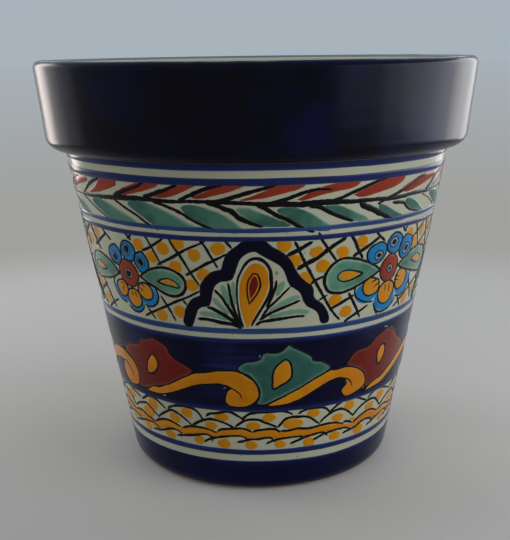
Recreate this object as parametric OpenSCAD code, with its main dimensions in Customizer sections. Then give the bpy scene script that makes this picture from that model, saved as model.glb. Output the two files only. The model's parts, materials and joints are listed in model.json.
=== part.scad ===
// Flower pot in talavera ware: a tapering terracotta wall on a drained floor, a deep collar luted
// round the mouth, a white tin glaze over the outside and cobalt bands brushed on the glaze.
// Millimetres, +Z up. The origin is the centre of the foot, on the ground.

/* [Clay wall] */
// Height of the clay, from the ground to the lip
pot_h = 200; // [175:1:240]
// Diameter of the wall's outer cone at the ground
foot_d = 130; // [110:1:150]
// Diameter of the wall's outer cone at the lip
mouth_d = 204; // [185:1:230]
// Thickness of the wall, measured level
wall_t = 9; // [6:0.5:14]
// Radius of the lip's inner edge
inner_lip_round = 4; // [1:0.5:5]

/* [Floor] */
// Thickness of the floor
floor_t = 12; // [9:0.5:18]
// Radius of the turned foot edge
foot_round = 8; // [4:0.5:9]
// Diameter of the drain hole
drain_d = 18; // [8:1:40]

/* [Collar] */
// Height of the collar, from its underside to the lip
collar_h = 40; // [25:1:60]
// Thickness of the collar over the wall at its lower edge
collar_low_t = 8.5; // [6:0.5:14]
// Thickness of the collar over the wall at the lip
collar_lip_t = 5.7; // [4:0.2:10]
// Radius of the collar's lower edge
collar_round = 6; // [2:0.5:7.5]
// Radius of the lip's outer edge
lip_round = 2.4; // [1:0.2:3.5]

/* [Glaze] */
// Thickness of the white glaze and of the collar's glaze
glaze_t = 0.6; // [0.4:0.1:1.2]
// Thickness of a brushed cobalt band
brush_t = 0.3; // [0.2:0.1:0.6]
// How far the white glaze runs down the inside
inside_glaze_h = 34; // [10:1:80]
// Height of bare clay left at the foot
bare_foot_h = 1.5; // [0.8:0.1:3]
// Turn of the lip's edge where the collar's glaze thins out, in degrees above level
lip_line_low = 54; // [40:1:66]
// Turn of the lip's edge where the white glaze takes over, in degrees above level
lip_line_high = 78; // [70:1:88]

/* [Bands up from the foot] */
// Height of the dark foot band
foot_band_h = 15; // [10:0.1:20]
// Height of the white stripe above the foot band
foot_white_h = 3.4; // [1:0.1:6]
// Height of the stripe under the fish scales
scale_stripe_h = 2.9; // [1:0.1:6]
// Height of the white field of fish scales
scale_field_h = 20.2; // [15:0.1:24]
// Height of the dark ground behind the scrolls
wave_ground_h = 37.3; // [30:0.1:42]
// Height of the white stripe above the scrolls
wave_white_h = 2.1; // [1:0.1:6]
// Height of the stripe under the lattice
lattice_foot_stripe_h = 2.8; // [1:0.1:6]

/* [Bands down from the collar] */
// Height of the stripe against the collar
neck_stripe_h = 3.2; // [1:0.1:6]
// Height of the white stripe under it
neck_white_h = 3.1; // [1:0.1:6]
// Height of the stripe over the garland
shoulder_stripe_h = 3.4; // [1:0.1:6]
// Height of the white field of the garland
garland_field_h = 18; // [14:0.1:22]
// Height of the stripe under the garland
garland_stripe_h = 2.2; // [1:0.1:6]
// Height of the white stripe under that
garland_white_h = 1.8; // [1:0.1:6]
// Height of the stripe over the lattice
lattice_top_stripe_h = 2.4; // [1:0.1:6]

/* [Hidden] */
$fn = 128;
arc_steps = 10;
terracotta = [0.70, 0.40, 0.25];
tin_white = [0.88, 0.87, 0.78];
dark_cobalt = [0.06, 0.07, 0.22];
cobalt = [0.13, 0.18, 0.45];
blue_green = [0.33, 0.56, 0.52];

// The wall leans out by this much for each millimetre of height
lean = (mouth_d - foot_d) / 2 / pot_h;
lean_sec = sqrt(1 + lean * lean);
lean_deg = atan(lean);
drain_r = drain_d / 2;

// The collar's face leans less than the wall
collar_z = pot_h - collar_h;
collar_lean = lean + (collar_lip_t - collar_low_t) / collar_h;
collar_sec = sqrt(1 + collar_lean * collar_lean);
collar_deg = atan(collar_lean);

// Heights where the bands meet, up from the foot
foot_band_z = bare_foot_h + foot_band_h;
scale_stripe_z = foot_band_z + foot_white_h;
scale_field_z = scale_stripe_z + scale_stripe_h;
wave_ground_z = scale_field_z + scale_field_h;
lattice_foot_stripe_z = wave_ground_z + wave_ground_h + wave_white_h;

// Heights where the bands meet, down from the collar's glazed underside
neck_z = collar_z - glaze_t;
shoulder_stripe_z = neck_z - neck_stripe_h - neck_white_h - shoulder_stripe_h;
garland_stripe_z = shoulder_stripe_z - garland_field_h - garland_stripe_h;
lattice_top_stripe_z = garland_stripe_z - garland_white_h - lattice_top_stripe_h;

// Outer radius of the wall at height z, with a coat of thickness t on it
function wall_r(z, t = 0) = foot_d / 2 + lean * z + t * lean_sec;

// Inner radius of the wall at height z, with a coat of thickness t on it
function bore_r(z, t = 0) = wall_r(z) - wall_t - t * lean_sec;

// Radius of the collar's face at height z
function collar_r(z) = wall_r(collar_z) + collar_low_t + collar_lean * (z - collar_z);

// Points on an arc about c, from angle a to angle b
function arc(c, r, a, b) =
    [for (i = [0:arc_steps]) let (t = a + (b - a) * i / arc_steps) c + r * [cos(t), sin(t)]];

function reversed(list) = [for (i = [len(list) - 1:-1:0]) list[i]];

// The rounded edges, each held inside the clay that it rounds
foot_edge_r = min(foot_round, floor_t - 1);
foot_edge_c = [wall_r(foot_edge_r) - foot_edge_r * lean_sec, foot_edge_r];
bare_deg = asin(bare_foot_h / foot_edge_r - 1);

collar_edge_r = min(collar_round, collar_low_t - 1);
collar_edge_z = collar_z + collar_edge_r;
collar_edge_c = [collar_r(collar_edge_z) - collar_edge_r * collar_sec, collar_edge_z];

lip_edge_r = min(lip_round, collar_lip_t - 1);
lip_edge_z = pot_h - lip_edge_r;
lip_edge_c = [collar_r(lip_edge_z) - lip_edge_r * collar_sec, lip_edge_z];

inner_edge_r = min(inner_lip_round, wall_t - 1);
inner_edge_z = pot_h - inner_edge_r;
inner_edge_c = [bore_r(inner_edge_z) + inner_edge_r * lean_sec, inner_edge_z];

// Rounded edges with a coat of thickness t on the clay
function foot_edge(t, from) = arc(foot_edge_c, foot_edge_r + t, from, -lean_deg);
function collar_edge(t) = arc(collar_edge_c, collar_edge_r + t, -90, -collar_deg);
function lip_edge(t, from, to) = arc(lip_edge_c, lip_edge_r + t, from, to);
function inner_edge(t) = arc(inner_edge_c, inner_edge_r + t, 90, 180 - lean_deg);

// A solid turned from its half profile
module turned(points) {
    rotate_extrude() polygon(points);
}

// A coat on the wall's outside between two heights, t0 to t1 off the clay
module wall_coat(z0, z1, t0, t1) {
    turned([
        [wall_r(z0, t0), z0], [wall_r(z0, t1), z0],
        [wall_r(z1, t1), z1], [wall_r(z1, t0), z1]
    ]);
}

// A coat that starts on the foot edge, above the bare clay, and ends at height z1
module foot_coat(z1, t0, t1) {
    turned(concat(
        foot_edge(t1, bare_deg), [[wall_r(z1, t1), z1], [wall_r(z1, t0), z1]],
        reversed(foot_edge(t0, bare_deg))
    ));
}

// A brushed cobalt stripe of height h on the white glaze, with its lower edge at z
module stripe(z, h) {
    color(cobalt) wall_coat(z, z + h, glaze_t, glaze_t + brush_t);
}

module floor_slab() {
    color(terracotta) turned(concat(
        [[drain_r, 0]], foot_edge(0, -90), [[wall_r(floor_t), floor_t], [drain_r, floor_t]]
    ));
}

module clay_wall() {
    color(terracotta) turned(concat(
        [[bore_r(floor_t), floor_t], [wall_r(floor_t), floor_t], [wall_r(pot_h), pot_h]],
        inner_edge(0)
    ));
}

module rim_collar() {
    color(terracotta) turned(concat(
        [[wall_r(collar_z), collar_z]], collar_edge(0), lip_edge(0, -collar_deg, 90),
        [[wall_r(pot_h), pot_h]]
    ));
}

module tin_glaze() {
    color(tin_white) foot_coat(collar_z, 0, glaze_t);
}

module collar_glaze() {
    color(dark_cobalt) turned(concat(
        [[wall_r(neck_z, glaze_t + brush_t), neck_z]], collar_edge(glaze_t),
        lip_edge(glaze_t, -collar_deg, lip_line_low),
        reversed(lip_edge(0, -collar_deg, lip_line_low)), reversed(collar_edge(0)),
        [[wall_r(collar_z, glaze_t), collar_z]]
    ));
}

module lip_line() {
    color(blue_green) turned(concat(
        lip_edge(glaze_t, lip_line_low, lip_line_high),
        reversed(lip_edge(0, lip_line_low, lip_line_high))
    ));
}

module lip_glaze() {
    low_z = pot_h - inside_glaze_h;
    color(tin_white) turned(concat(
        lip_edge(glaze_t, lip_line_high, 90), inner_edge(glaze_t),
        [[bore_r(low_z, glaze_t), low_z], [bore_r(low_z), low_z]],
        reversed(inner_edge(0)), reversed(lip_edge(0, lip_line_high, 90))
    ));
}

// The stripe against the collar thins out behind the collar's glaze
module neck_stripe() {
    low_z = neck_z - neck_stripe_h;
    color(cobalt) turned([
        [wall_r(low_z, glaze_t), low_z], [wall_r(low_z, glaze_t + brush_t), low_z],
        [wall_r(neck_z, glaze_t + brush_t), neck_z], [wall_r(collar_z, glaze_t), collar_z]
    ]);
}

module shoulder_stripe() {
    stripe(shoulder_stripe_z, shoulder_stripe_h);
}

module garland_stripe() {
    stripe(garland_stripe_z, garland_stripe_h);
}

module lattice_top_stripe() {
    stripe(lattice_top_stripe_z, lattice_top_stripe_h);
}

module lattice_foot_stripe() {
    stripe(lattice_foot_stripe_z, lattice_foot_stripe_h);
}

module wave_ground() {
    color(dark_cobalt)
        wall_coat(wave_ground_z, wave_ground_z + wave_ground_h, glaze_t, glaze_t + brush_t);
}

module scale_stripe() {
    stripe(scale_stripe_z, scale_stripe_h);
}

module foot_band() {
    color(dark_cobalt) foot_coat(foot_band_z, glaze_t, glaze_t + brush_t);
}

floor_slab();
clay_wall();
rim_collar();
tin_glaze();
collar_glaze();
lip_line();
lip_glaze();
neck_stripe();
shoulder_stripe();
garland_stripe();
lattice_top_stripe();
lattice_foot_stripe();
wave_ground();
scale_stripe();
foot_band();
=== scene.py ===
"""Flower pot in talavera ware: its fired clay, its glazes and its brushed enamel, for Blender 4.5.

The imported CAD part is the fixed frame. Each coat of it is turned again here as a hand-thrown piece,
and the ornament lies on the glaze as thin raised enamel. Ornament is drawn flat, in degrees round
the pot (0 faces the viewer, + is to the right) and millimetres above the ground, and Geometry Nodes
wrap it on the wall.
"""

import json
import logging
import math
import random
from collections.abc import Sequence
from dataclasses import dataclass, field, replace
from enum import Enum
from functools import cached_property

import bmesh
import bpy
import numpy as np
from mathutils import Matrix, Vector
from mathutils.geometry import delaunay_2d_cdt

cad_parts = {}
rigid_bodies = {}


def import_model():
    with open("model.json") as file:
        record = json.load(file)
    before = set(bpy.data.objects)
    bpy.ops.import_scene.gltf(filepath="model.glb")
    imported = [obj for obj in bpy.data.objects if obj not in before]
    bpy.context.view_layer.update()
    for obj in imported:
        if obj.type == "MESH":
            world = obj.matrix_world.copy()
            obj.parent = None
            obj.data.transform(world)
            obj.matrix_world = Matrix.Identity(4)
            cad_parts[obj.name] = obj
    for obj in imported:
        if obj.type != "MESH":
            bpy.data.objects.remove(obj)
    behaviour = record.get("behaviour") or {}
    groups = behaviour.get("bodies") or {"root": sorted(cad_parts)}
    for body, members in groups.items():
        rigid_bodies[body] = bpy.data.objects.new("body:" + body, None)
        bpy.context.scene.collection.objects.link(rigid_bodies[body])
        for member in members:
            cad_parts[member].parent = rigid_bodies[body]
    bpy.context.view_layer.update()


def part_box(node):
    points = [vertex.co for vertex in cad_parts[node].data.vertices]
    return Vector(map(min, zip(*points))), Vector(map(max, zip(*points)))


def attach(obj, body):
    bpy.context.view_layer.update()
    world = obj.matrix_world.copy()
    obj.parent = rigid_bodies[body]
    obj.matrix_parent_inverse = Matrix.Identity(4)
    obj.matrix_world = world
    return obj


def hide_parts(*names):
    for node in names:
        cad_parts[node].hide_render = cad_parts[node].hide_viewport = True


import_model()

LOG = logging.getLogger("flower_pot")
MM = 0.001
BODY = "root"
Point = tuple[float, float]
Path = Sequence[Point]
Colour = tuple[float, float, float]
Oval = tuple[float, float, float, float]
Stroke = tuple[float, Path]
HALVES = (0.0, 180.0)
QUARTERS = (0.0, 90.0, 180.0, 270.0)

# How often a drawn front is set round the pot, the turn of the lip's edge at its crest, in degrees, the
# greatest distance between the points of a profile, and a length that counts as none.
ROUNDS = 3
CREST = 90.0
PROFILE_STEP = 2.5
TINY = 1e-9

# The unevenness of throwing, in millimetres: the depth of slow dents and of turning lines, how far the
# lip sinks and by how much that changes, and the heights over which the wall comes to sink with it.
DENTS = 0.4
TURNING_LINES = 0.08
LIP_SINK = 0.07
LIP_WAVE = 0.08
SINKING = (120.0, 200.0)


class Slot(Enum):
    """The record's material slots."""

    TERRACOTTA = "terracotta"
    WHITE_GLAZE = "white_glaze"
    DARK_COBALT = "dark_cobalt"
    COBALT = "cobalt"
    BLUE_GREEN = "blue_green"


class Side(Enum):
    """The edge of a coat that a profile point wanders with."""

    NONE = 0.0
    LOWER = 1.0
    UPPER = 2.0


class Value:
    """An output socket, whose arithmetic adds Math nodes to its tree."""

    def __init__(self, graph: "Graph", socket: bpy.types.NodeSocket | None) -> None:
        """Wraps a socket of a graph."""
        self.graph = graph
        self.socket = socket

    def __add__(self, other: "Value | float") -> "Value":
        """Self plus other."""
        return self.graph.math("ADD", self, other)

    def __sub__(self, other: "Value | float") -> "Value":
        """Self minus other."""
        return self.graph.math("SUBTRACT", self, other)

    def __rsub__(self, other: float) -> "Value":
        """Other minus self."""
        return self.graph.math("SUBTRACT", other, self)

    def __mul__(self, other: "Value | float") -> "Value":
        """Self times other."""
        return self.graph.math("MULTIPLY", self, other)

    def __truediv__(self, other: "Value | float") -> "Value":
        """Self over other."""
        return self.graph.math("DIVIDE", self, other)

    def __rtruediv__(self, other: float) -> "Value":
        """Other over self."""
        return self.graph.math("DIVIDE", other, self)

    __radd__ = __add__
    __rmul__ = __mul__

    def output(self, name: str) -> "Value":
        """Another output of the same node."""
        return Value(self.graph, self.socket.node.outputs[name])


Feed = Value | bpy.types.ID | Sequence[float] | float | str | bool


class Graph:
    """A node tree that is being written."""

    def __init__(self, tree: bpy.types.NodeTree) -> None:
        """Writes into a tree."""
        self.tree = tree

    @classmethod
    def anew(cls, owner: bpy.types.Material | bpy.types.World) -> "Graph":
        """Empties the nodes of a material or a world, to be written again.

        Args:
            owner: The material or the world.

        Returns:
            Its graph.
        """
        owner.use_nodes = True
        owner.node_tree.nodes.clear()
        return cls(owner.node_tree)

    def node(
        self, kind: str, settings: dict[str, object] | None = None,
        sockets: dict[str | int, Feed] | None = None, output: str | int = 0,
    ) -> Value:
        """Adds any node.

        Args:
            kind: The node's type.
            settings: Its properties, which are set first.
            sockets: Values or links of its input sockets, by name or index.
            output: The output socket to return.

        Returns:
            That output.
        """
        node = self.tree.nodes.new(kind)
        for key, value in (settings or {}).items():
            setattr(node, key, value)
        for key, value in (sockets or {}).items():
            socket = node.inputs[key]
            if isinstance(value, Value):
                self.tree.links.new(value.socket, socket)
            elif isinstance(value, tuple):
                socket.default_value = (*value, 1.0)[: len(socket.default_value)]
            else:
                socket.default_value = value
        return Value(self, node.outputs[output] if node.outputs else None)

    def math(self, operation: str, *terms: Value | float) -> Value:
        """A Math node on values and numbers."""
        return self.node("ShaderNodeMath", {"operation": operation}, dict(enumerate(terms)))

    def ramp(self, value: Value, low: float, high: float) -> Value:
        """A smooth step from 0 at low to 1 at high.

        Args:
            value: What is measured.
            low: Where the step starts.
            high: Where it ends.

        Returns:
            The step.
        """
        sockets = {"Value": value, "From Min": low, "From Max": high}
        return self.node("ShaderNodeMapRange", {"interpolation_type": "SMOOTHSTEP"}, sockets)

    def mix(self, first: Value | Colour, second: Value | Colour, factor: Value | float) -> Value:
        """A blend of two colours, from first at 0 to second at 1."""
        return self.node("ShaderNodeMix", {"data_type": "RGBA"}, {0: factor, 6: first, 7: second}, 2)

    def vector(self, x: Value | float, y: Value | float, z: Value | float) -> Value:
        """A vector from three values."""
        return self.node("ShaderNodeCombineXYZ", None, {"X": x, "Y": y, "Z": z})

    def stretch(self, at: Value, factors: tuple[float, float, float]) -> Value:
        """Coordinates multiplied axis by axis."""
        return self.node("ShaderNodeVectorMath", {"operation": "MULTIPLY"}, {0: at, 1: factors})

    def noise(self, at: Value, scale: float, detail: float = 2.0) -> Value:
        """Smooth noise between 0 and 1."""
        sockets = {"Vector": at, "Scale": scale, "Detail": detail}
        return self.node("ShaderNodeTexNoise", {"noise_dimensions": "3D"}, sockets, "Fac")

    def attribute(self, name: str) -> Value:
        """A number stored on the mesh, read by a material."""
        return self.node("ShaderNodeAttribute", {"attribute_name": name}, None, "Fac")


@dataclass(frozen=True)
class Finish:
    """A fired surface of the pot.

    Attributes:
        name: The material's name.
        dull: Roughness of the surface.
        ior: Refractive index of its skin.
        ripple: Depth of its fine relief, in millimetres.
    """

    name: str
    dull: float = 0.16
    ior: float = 1.25
    ripple: float = 0.05

    def colour(self, g: Graph, at: Value) -> Value:
        """The surface's colour at object coordinates."""
        raise NotImplementedError

    def roughness(self, g: Graph, at: Value) -> Value:
        """The surface's roughness at object coordinates."""
        return self.dull * (0.75 + 0.5 * g.noise(at, 60.0))

    def relief(self, g: Graph, at: Value) -> Value:
        """The surface's fine relief, from 0 to 1."""
        return g.noise(at, 130.0, 3.0)

    def material(self) -> bpy.types.Material:
        """Draws the material, or finds it when it is drawn already.

        Returns:
            The material.
        """
        made = bpy.data.materials.get(self.name)
        if made:
            return made
        made = bpy.data.materials.new(self.name)
        g = Graph.anew(made)
        at = g.node("ShaderNodeTexCoord", output="Object")
        sockets = {"Strength": 1.0, "Distance": self.ripple * MM, "Height": self.relief(g, at)}
        bump = g.node("ShaderNodeBump", None, sockets)
        sockets = {
            "Base Color": self.colour(g, at),
            "Roughness": self.roughness(g, at),
            "Normal": bump,
            "IOR": self.ior,
        }
        shader = g.node("ShaderNodeBsdfPrincipled", None, sockets)
        g.node("ShaderNodeOutputMaterial", None, {"Surface": shader})
        return made


@dataclass(frozen=True)
class BareClay(Finish):
    """Fired terracotta without glaze.

    Attributes:
        body: Colour of the clay.
        pale: Colour of its dry, limy patches.
        grit: Colour of the grit in it.
    """

    body: Colour = (0.42, 0.165, 0.075)
    pale: Colour = (0.56, 0.30, 0.17)
    grit: Colour = (0.16, 0.06, 0.035)

    def colour(self, g: Graph, at: Value) -> Value:
        """Clay with limy patches, turning lines and grit.

        Args:
            g: The graph.
            at: Object coordinates.

        Returns:
            The colour.
        """
        patches = g.ramp(g.noise(at, 28.0, 4.0), 0.42, 0.72)
        lines = g.noise(g.stretch(at, (1.0, 1.0, 14.0)), 30.0, 3.0)
        grit = g.ramp(g.noise(at, 900.0, 1.0), 0.66, 0.74)
        clay = g.mix(self.body, self.pale, patches * 0.5 + lines * 0.35)
        return g.mix(clay, self.grit, grit * 0.7)

    def relief(self, g: Graph, at: Value) -> Value:
        """Grain of the clay and fine turning lines."""
        lines = g.noise(g.stretch(at, (1.0, 1.0, 40.0)), 30.0, 2.0)
        return 0.6 * g.noise(at, 700.0, 3.0) + 0.4 * lines


@dataclass(frozen=True)
class TinGlaze(Finish):
    """Cream-white opaque glaze.

    Attributes:
        body: Colour of the glaze.
        shade: Colour where it lies thin or pools over the clay.
        speck: Colour of the specks in it.
    """

    body: Colour = (0.43, 0.435, 0.325)
    shade: Colour = (0.355, 0.36, 0.25)
    speck: Colour = (0.12, 0.09, 0.05)

    def colour(self, g: Graph, at: Value) -> Value:
        """Cream glaze with soft clouds and a few specks.

        Args:
            g: The graph.
            at: Object coordinates.

        Returns:
            The colour.
        """
        clouds = g.ramp(g.noise(at, 24.0, 3.0), 0.35, 0.75)
        specks = g.ramp(g.noise(at, 640.0, 0.0), 0.80, 0.84)
        ground = g.mix(self.body, self.shade, clouds * 0.8)
        return g.mix(ground, self.speck, specks * 0.5)


@dataclass(frozen=True)
class CobaltCoat(Finish):
    """Cobalt glaze laid on with a broad brush.

    Attributes:
        deep: Colour where it lies thick.
        thin: Colour where it lies thin.
        bleed: Colour at the edge, where it runs into the white.
        cover: How full the coat is, from 0 to 1.
        rim: Share of the way in from the edge over which it thickens.
        streaky: Share of the brush streaks in its unevenness, against soft patches.
    """

    deep: Colour = (0.012, 0.018, 0.085)
    thin: Colour = (0.045, 0.075, 0.26)
    bleed: Colour = (0.16, 0.24, 0.42)
    cover: float = 0.5
    rim: float = 0.6
    streaky: float = 0.6

    def colour(self, g: Graph, at: Value) -> Value:
        """Cobalt in level brush streaks that thins towards its edges.

        Args:
            g: The graph.
            at: Object coordinates.

        Returns:
            The colour.
        """
        streaks = g.noise(g.stretch(at, (1.0, 1.0, 22.0)), 26.0, 4.0)
        patches = g.noise(at, 34.0, 2.0)
        full = g.attribute("edge") + (streaks - 0.5) * 0.5
        uneven = streaks * self.streaky + patches * (1.0 - self.streaky)
        weight = g.ramp(uneven, 0.75 - self.cover, 1.05 - self.cover)
        coat = g.mix(self.thin, self.deep, weight * g.ramp(full, 0.0, self.rim))
        return g.mix(self.bleed, coat, g.ramp(full, -0.12, 0.22))


@dataclass(frozen=True)
class Pigment(Finish):
    """Enamel colour painted with a soft brush.

    Attributes:
        body: Colour of a full stroke.
        thin: Colour at its edges.
        pooled: Colour where the wet paint gathered.
        soft: Share of the way in from the edge over which the colour fades in.
        gather: How strongly the paint gathers towards the end of its stroke.
        crisp: How far that end keeps a sharp edge.
    """

    body: Colour = (0.5, 0.5, 0.5)
    thin: Colour = (0.6, 0.6, 0.6)
    pooled: Colour = (0.3, 0.3, 0.3)
    soft: float = 0.5
    gather: float = 0.5
    crisp: float = 0.0

    def colour(self, g: Graph, at: Value) -> Value:
        """Paint that fades at its edges and clouds where it gathered.

        Args:
            g: The graph.
            at: Object coordinates.

        Returns:
            The colour.
        """
        clouds = g.noise(at, 170.0, 3.0)
        flow = g.attribute("flow")
        full = g.ramp(g.attribute("edge") + flow * self.crisp + (clouds - 0.5) * 0.5, 0.0, self.soft)
        gathered = g.ramp(flow * self.gather + clouds * 0.75, 0.35, 1.0)
        paint = g.mix(self.body, self.pooled, gathered)
        return g.mix(self.thin, paint, full)


@dataclass(frozen=True)
class LeafWash(Pigment):
    """Enamel whose lower end lies on a cobalt stripe and takes up its blue.

    Attributes:
        stain: Colour over the stripe.
        stain_top: Height of the stripe's upper edge, in millimetres.
    """

    stain: Colour = (0.5, 0.5, 0.5)
    stain_top: float = 0.0

    def colour(self, g: Graph, at: Value) -> Value:
        """The paint, turned bluer below the stripe's edge.

        Args:
            g: The graph.
            at: Object coordinates.

        Returns:
            The colour.
        """
        height = g.node("ShaderNodeSeparateXYZ", None, {0: at}, "Z") / MM
        free = g.ramp(height, self.stain_top - 0.5, self.stain_top + 0.3)
        return g.mix(self.stain, super().colour(g, at), free)


BARE_CLAY = BareClay("bare_clay", dull=0.85, ripple=0.25)
WHITE = TinGlaze("tin_glaze_cream", dull=0.18)
COLLAR_COBALT = CobaltCoat(
    "collar_cobalt", dull=0.19, ior=1.22, cover=0.48, rim=0.9, streaky=0.15,
    deep=(0.0004, 0.0004, 0.005), thin=(0.0016, 0.0020, 0.027), bleed=(0.006, 0.012, 0.050),
)
DARK_COBALT = CobaltCoat(
    "dark_cobalt_wash", dull=0.20, ior=1.20, cover=0.52, rim=0.9, streaky=0.3,
    deep=(0.0012, 0.0012, 0.017), thin=(0.010, 0.018, 0.095), bleed=(0.070, 0.13, 0.29),
)
FOOT_COBALT = CobaltCoat(
    "foot_cobalt", dull=0.20, ior=1.22, cover=0.55, rim=0.8,
    deep=(0.0012, 0.0014, 0.024), thin=(0.004, 0.006, 0.065), bleed=(0.030, 0.050, 0.16),
)
BRUSHED_COBALT = CobaltCoat(
    "brushed_cobalt", dull=0.18, cover=0.6,
    deep=(0.007, 0.014, 0.080), thin=(0.020, 0.036, 0.15), bleed=(0.09, 0.14, 0.24),
)
PALE_COBALT = CobaltCoat(
    "pale_cobalt", dull=0.18,
    deep=(0.014, 0.038, 0.125), thin=(0.030, 0.072, 0.20), bleed=(0.12, 0.18, 0.27),
)
LIP_GREEN = CobaltCoat(
    "lip_green", dull=0.18, cover=0.5,
    deep=(0.006, 0.022, 0.034), thin=(0.035, 0.12, 0.13), bleed=(0.12, 0.25, 0.24),
)
BLACK = Pigment(
    "black_line", dull=0.26, ior=1.20, soft=0.3, body=(0.004, 0.004, 0.005), thin=(0.020, 0.019, 0.018),
    pooled=(0.002, 0.002, 0.003),
)
ORANGE = Pigment(
    "orange_enamel", soft=0.5, body=(0.52, 0.208, 0.002), thin=(0.50, 0.33, 0.10),
    pooled=(0.44, 0.145, 0.001), gather=0.2,
)
OCHRE = Pigment(
    "ochre_enamel", soft=0.5, body=(0.55, 0.208, 0.0015), thin=(0.55, 0.27, 0.02),
    pooled=(0.45, 0.138, 0.001), gather=0.35,
)
BRICK = Pigment(
    "brick_red", soft=0.4, body=(0.26, 0.030, 0.009), thin=(0.36, 0.10, 0.05),
    pooled=(0.18, 0.016, 0.006), gather=0.4,
)
DARK_RED = Pigment(
    "dark_red", soft=0.7, body=(0.142, 0.007, 0.0025), thin=(0.19, 0.026, 0.014),
    pooled=(0.085, 0.004, 0.002), gather=0.3,
)
TEAL = LeafWash(
    "teal_wash", soft=0.9, body=(0.064, 0.18, 0.128), thin=(0.22, 0.305, 0.23),
    pooled=(0.026, 0.094, 0.072), gather=0.45, crisp=0.5, stain=(0.028, 0.110, 0.160), stain_top=131.7,
)
LEAF_TEAL = Pigment(
    "leaf_teal", soft=0.8, body=(0.105, 0.245, 0.165), thin=(0.27, 0.36, 0.27),
    pooled=(0.034, 0.118, 0.086), gather=0.5, crisp=0.3,
)
DEEP_TEAL = Pigment(
    "deep_teal", soft=0.8, body=(0.026, 0.106, 0.081), thin=(0.085, 0.19, 0.145),
    pooled=(0.012, 0.064, 0.050), gather=0.3,
)
PALE_TEAL = Pigment(
    "pale_teal", soft=0.9, body=(0.15, 0.29, 0.195), thin=(0.36, 0.39, 0.285),
    pooled=(0.10, 0.235, 0.155), gather=0.3,
)
SKY = Pigment(
    "sky_blue", soft=0.4, body=(0.004, 0.178, 0.42), thin=(0.05, 0.29, 0.50),
    pooled=(0.004, 0.105, 0.31), gather=0.3,
)
EYE_WHITE = Pigment(
    "eye_white", soft=0.4, body=(0.17, 0.25, 0.30), thin=(0.09, 0.19, 0.27),
    pooled=(0.14, 0.21, 0.27), gather=0.2,
)
NAVY = Pigment(
    "navy_stroke", dull=0.18, ior=1.20, soft=0.3, body=(0.0015, 0.0015, 0.011), thin=(0.012, 0.018, 0.07),
    pooled=(0.001, 0.001, 0.006), gather=0.2,
)
GLINT = Pigment(
    "bare_glint", soft=0.5, body=(0.20, 0.22, 0.23), thin=(0.06, 0.08, 0.14),
    pooled=(0.16, 0.18, 0.20), gather=0.2,
)


@dataclass(frozen=True)
class Turn:
    """A point of a coat's half profile, in millimetres.

    Attributes:
        r: Distance from the pot's axis.
        z: Height above the ground.
        edge: How full the coat is here, from 0 at its edge to 1.
        slide: How far and which way the point follows its edge's wander.
        side: The edge that it follows.
    """

    r: float
    z: float
    edge: float = 1.0
    slide: Point = (0.0, 0.0)
    side: Side = Side.NONE


def arc(centre: Point, radius: float, start: float, end: float, steps: int = 10) -> list[Point]:
    """Points on an arc.

    Args:
        centre: Its centre.
        radius: Its radius.
        start: The angle where it starts, in degrees.
        end: The angle where it ends.
        steps: How many parts it has.

    Returns:
        The points, both ends included.
    """
    angles = (math.radians(start + (end - start) * i / steps) for i in range(steps + 1))
    return [(centre[0] + radius * math.cos(a), centre[1] + radius * math.sin(a)) for a in angles]


def dense(points: Path, step: float = PROFILE_STEP) -> list[Point]:
    """A path with points added between its own.

    Args:
        points: The path.
        step: The greatest distance between points.

    Returns:
        The fuller path.
    """
    path = [points[0]]
    for (r0, z0), (r1, z1) in zip(points, points[1:]):
        parts = max(1, math.ceil(math.hypot(r1 - r0, z1 - z0) / step))
        path += [(r0 + (r1 - r0) * i / parts, z0 + (z1 - z0) * i / parts) for i in range(1, parts + 1)]
    return path


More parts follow.
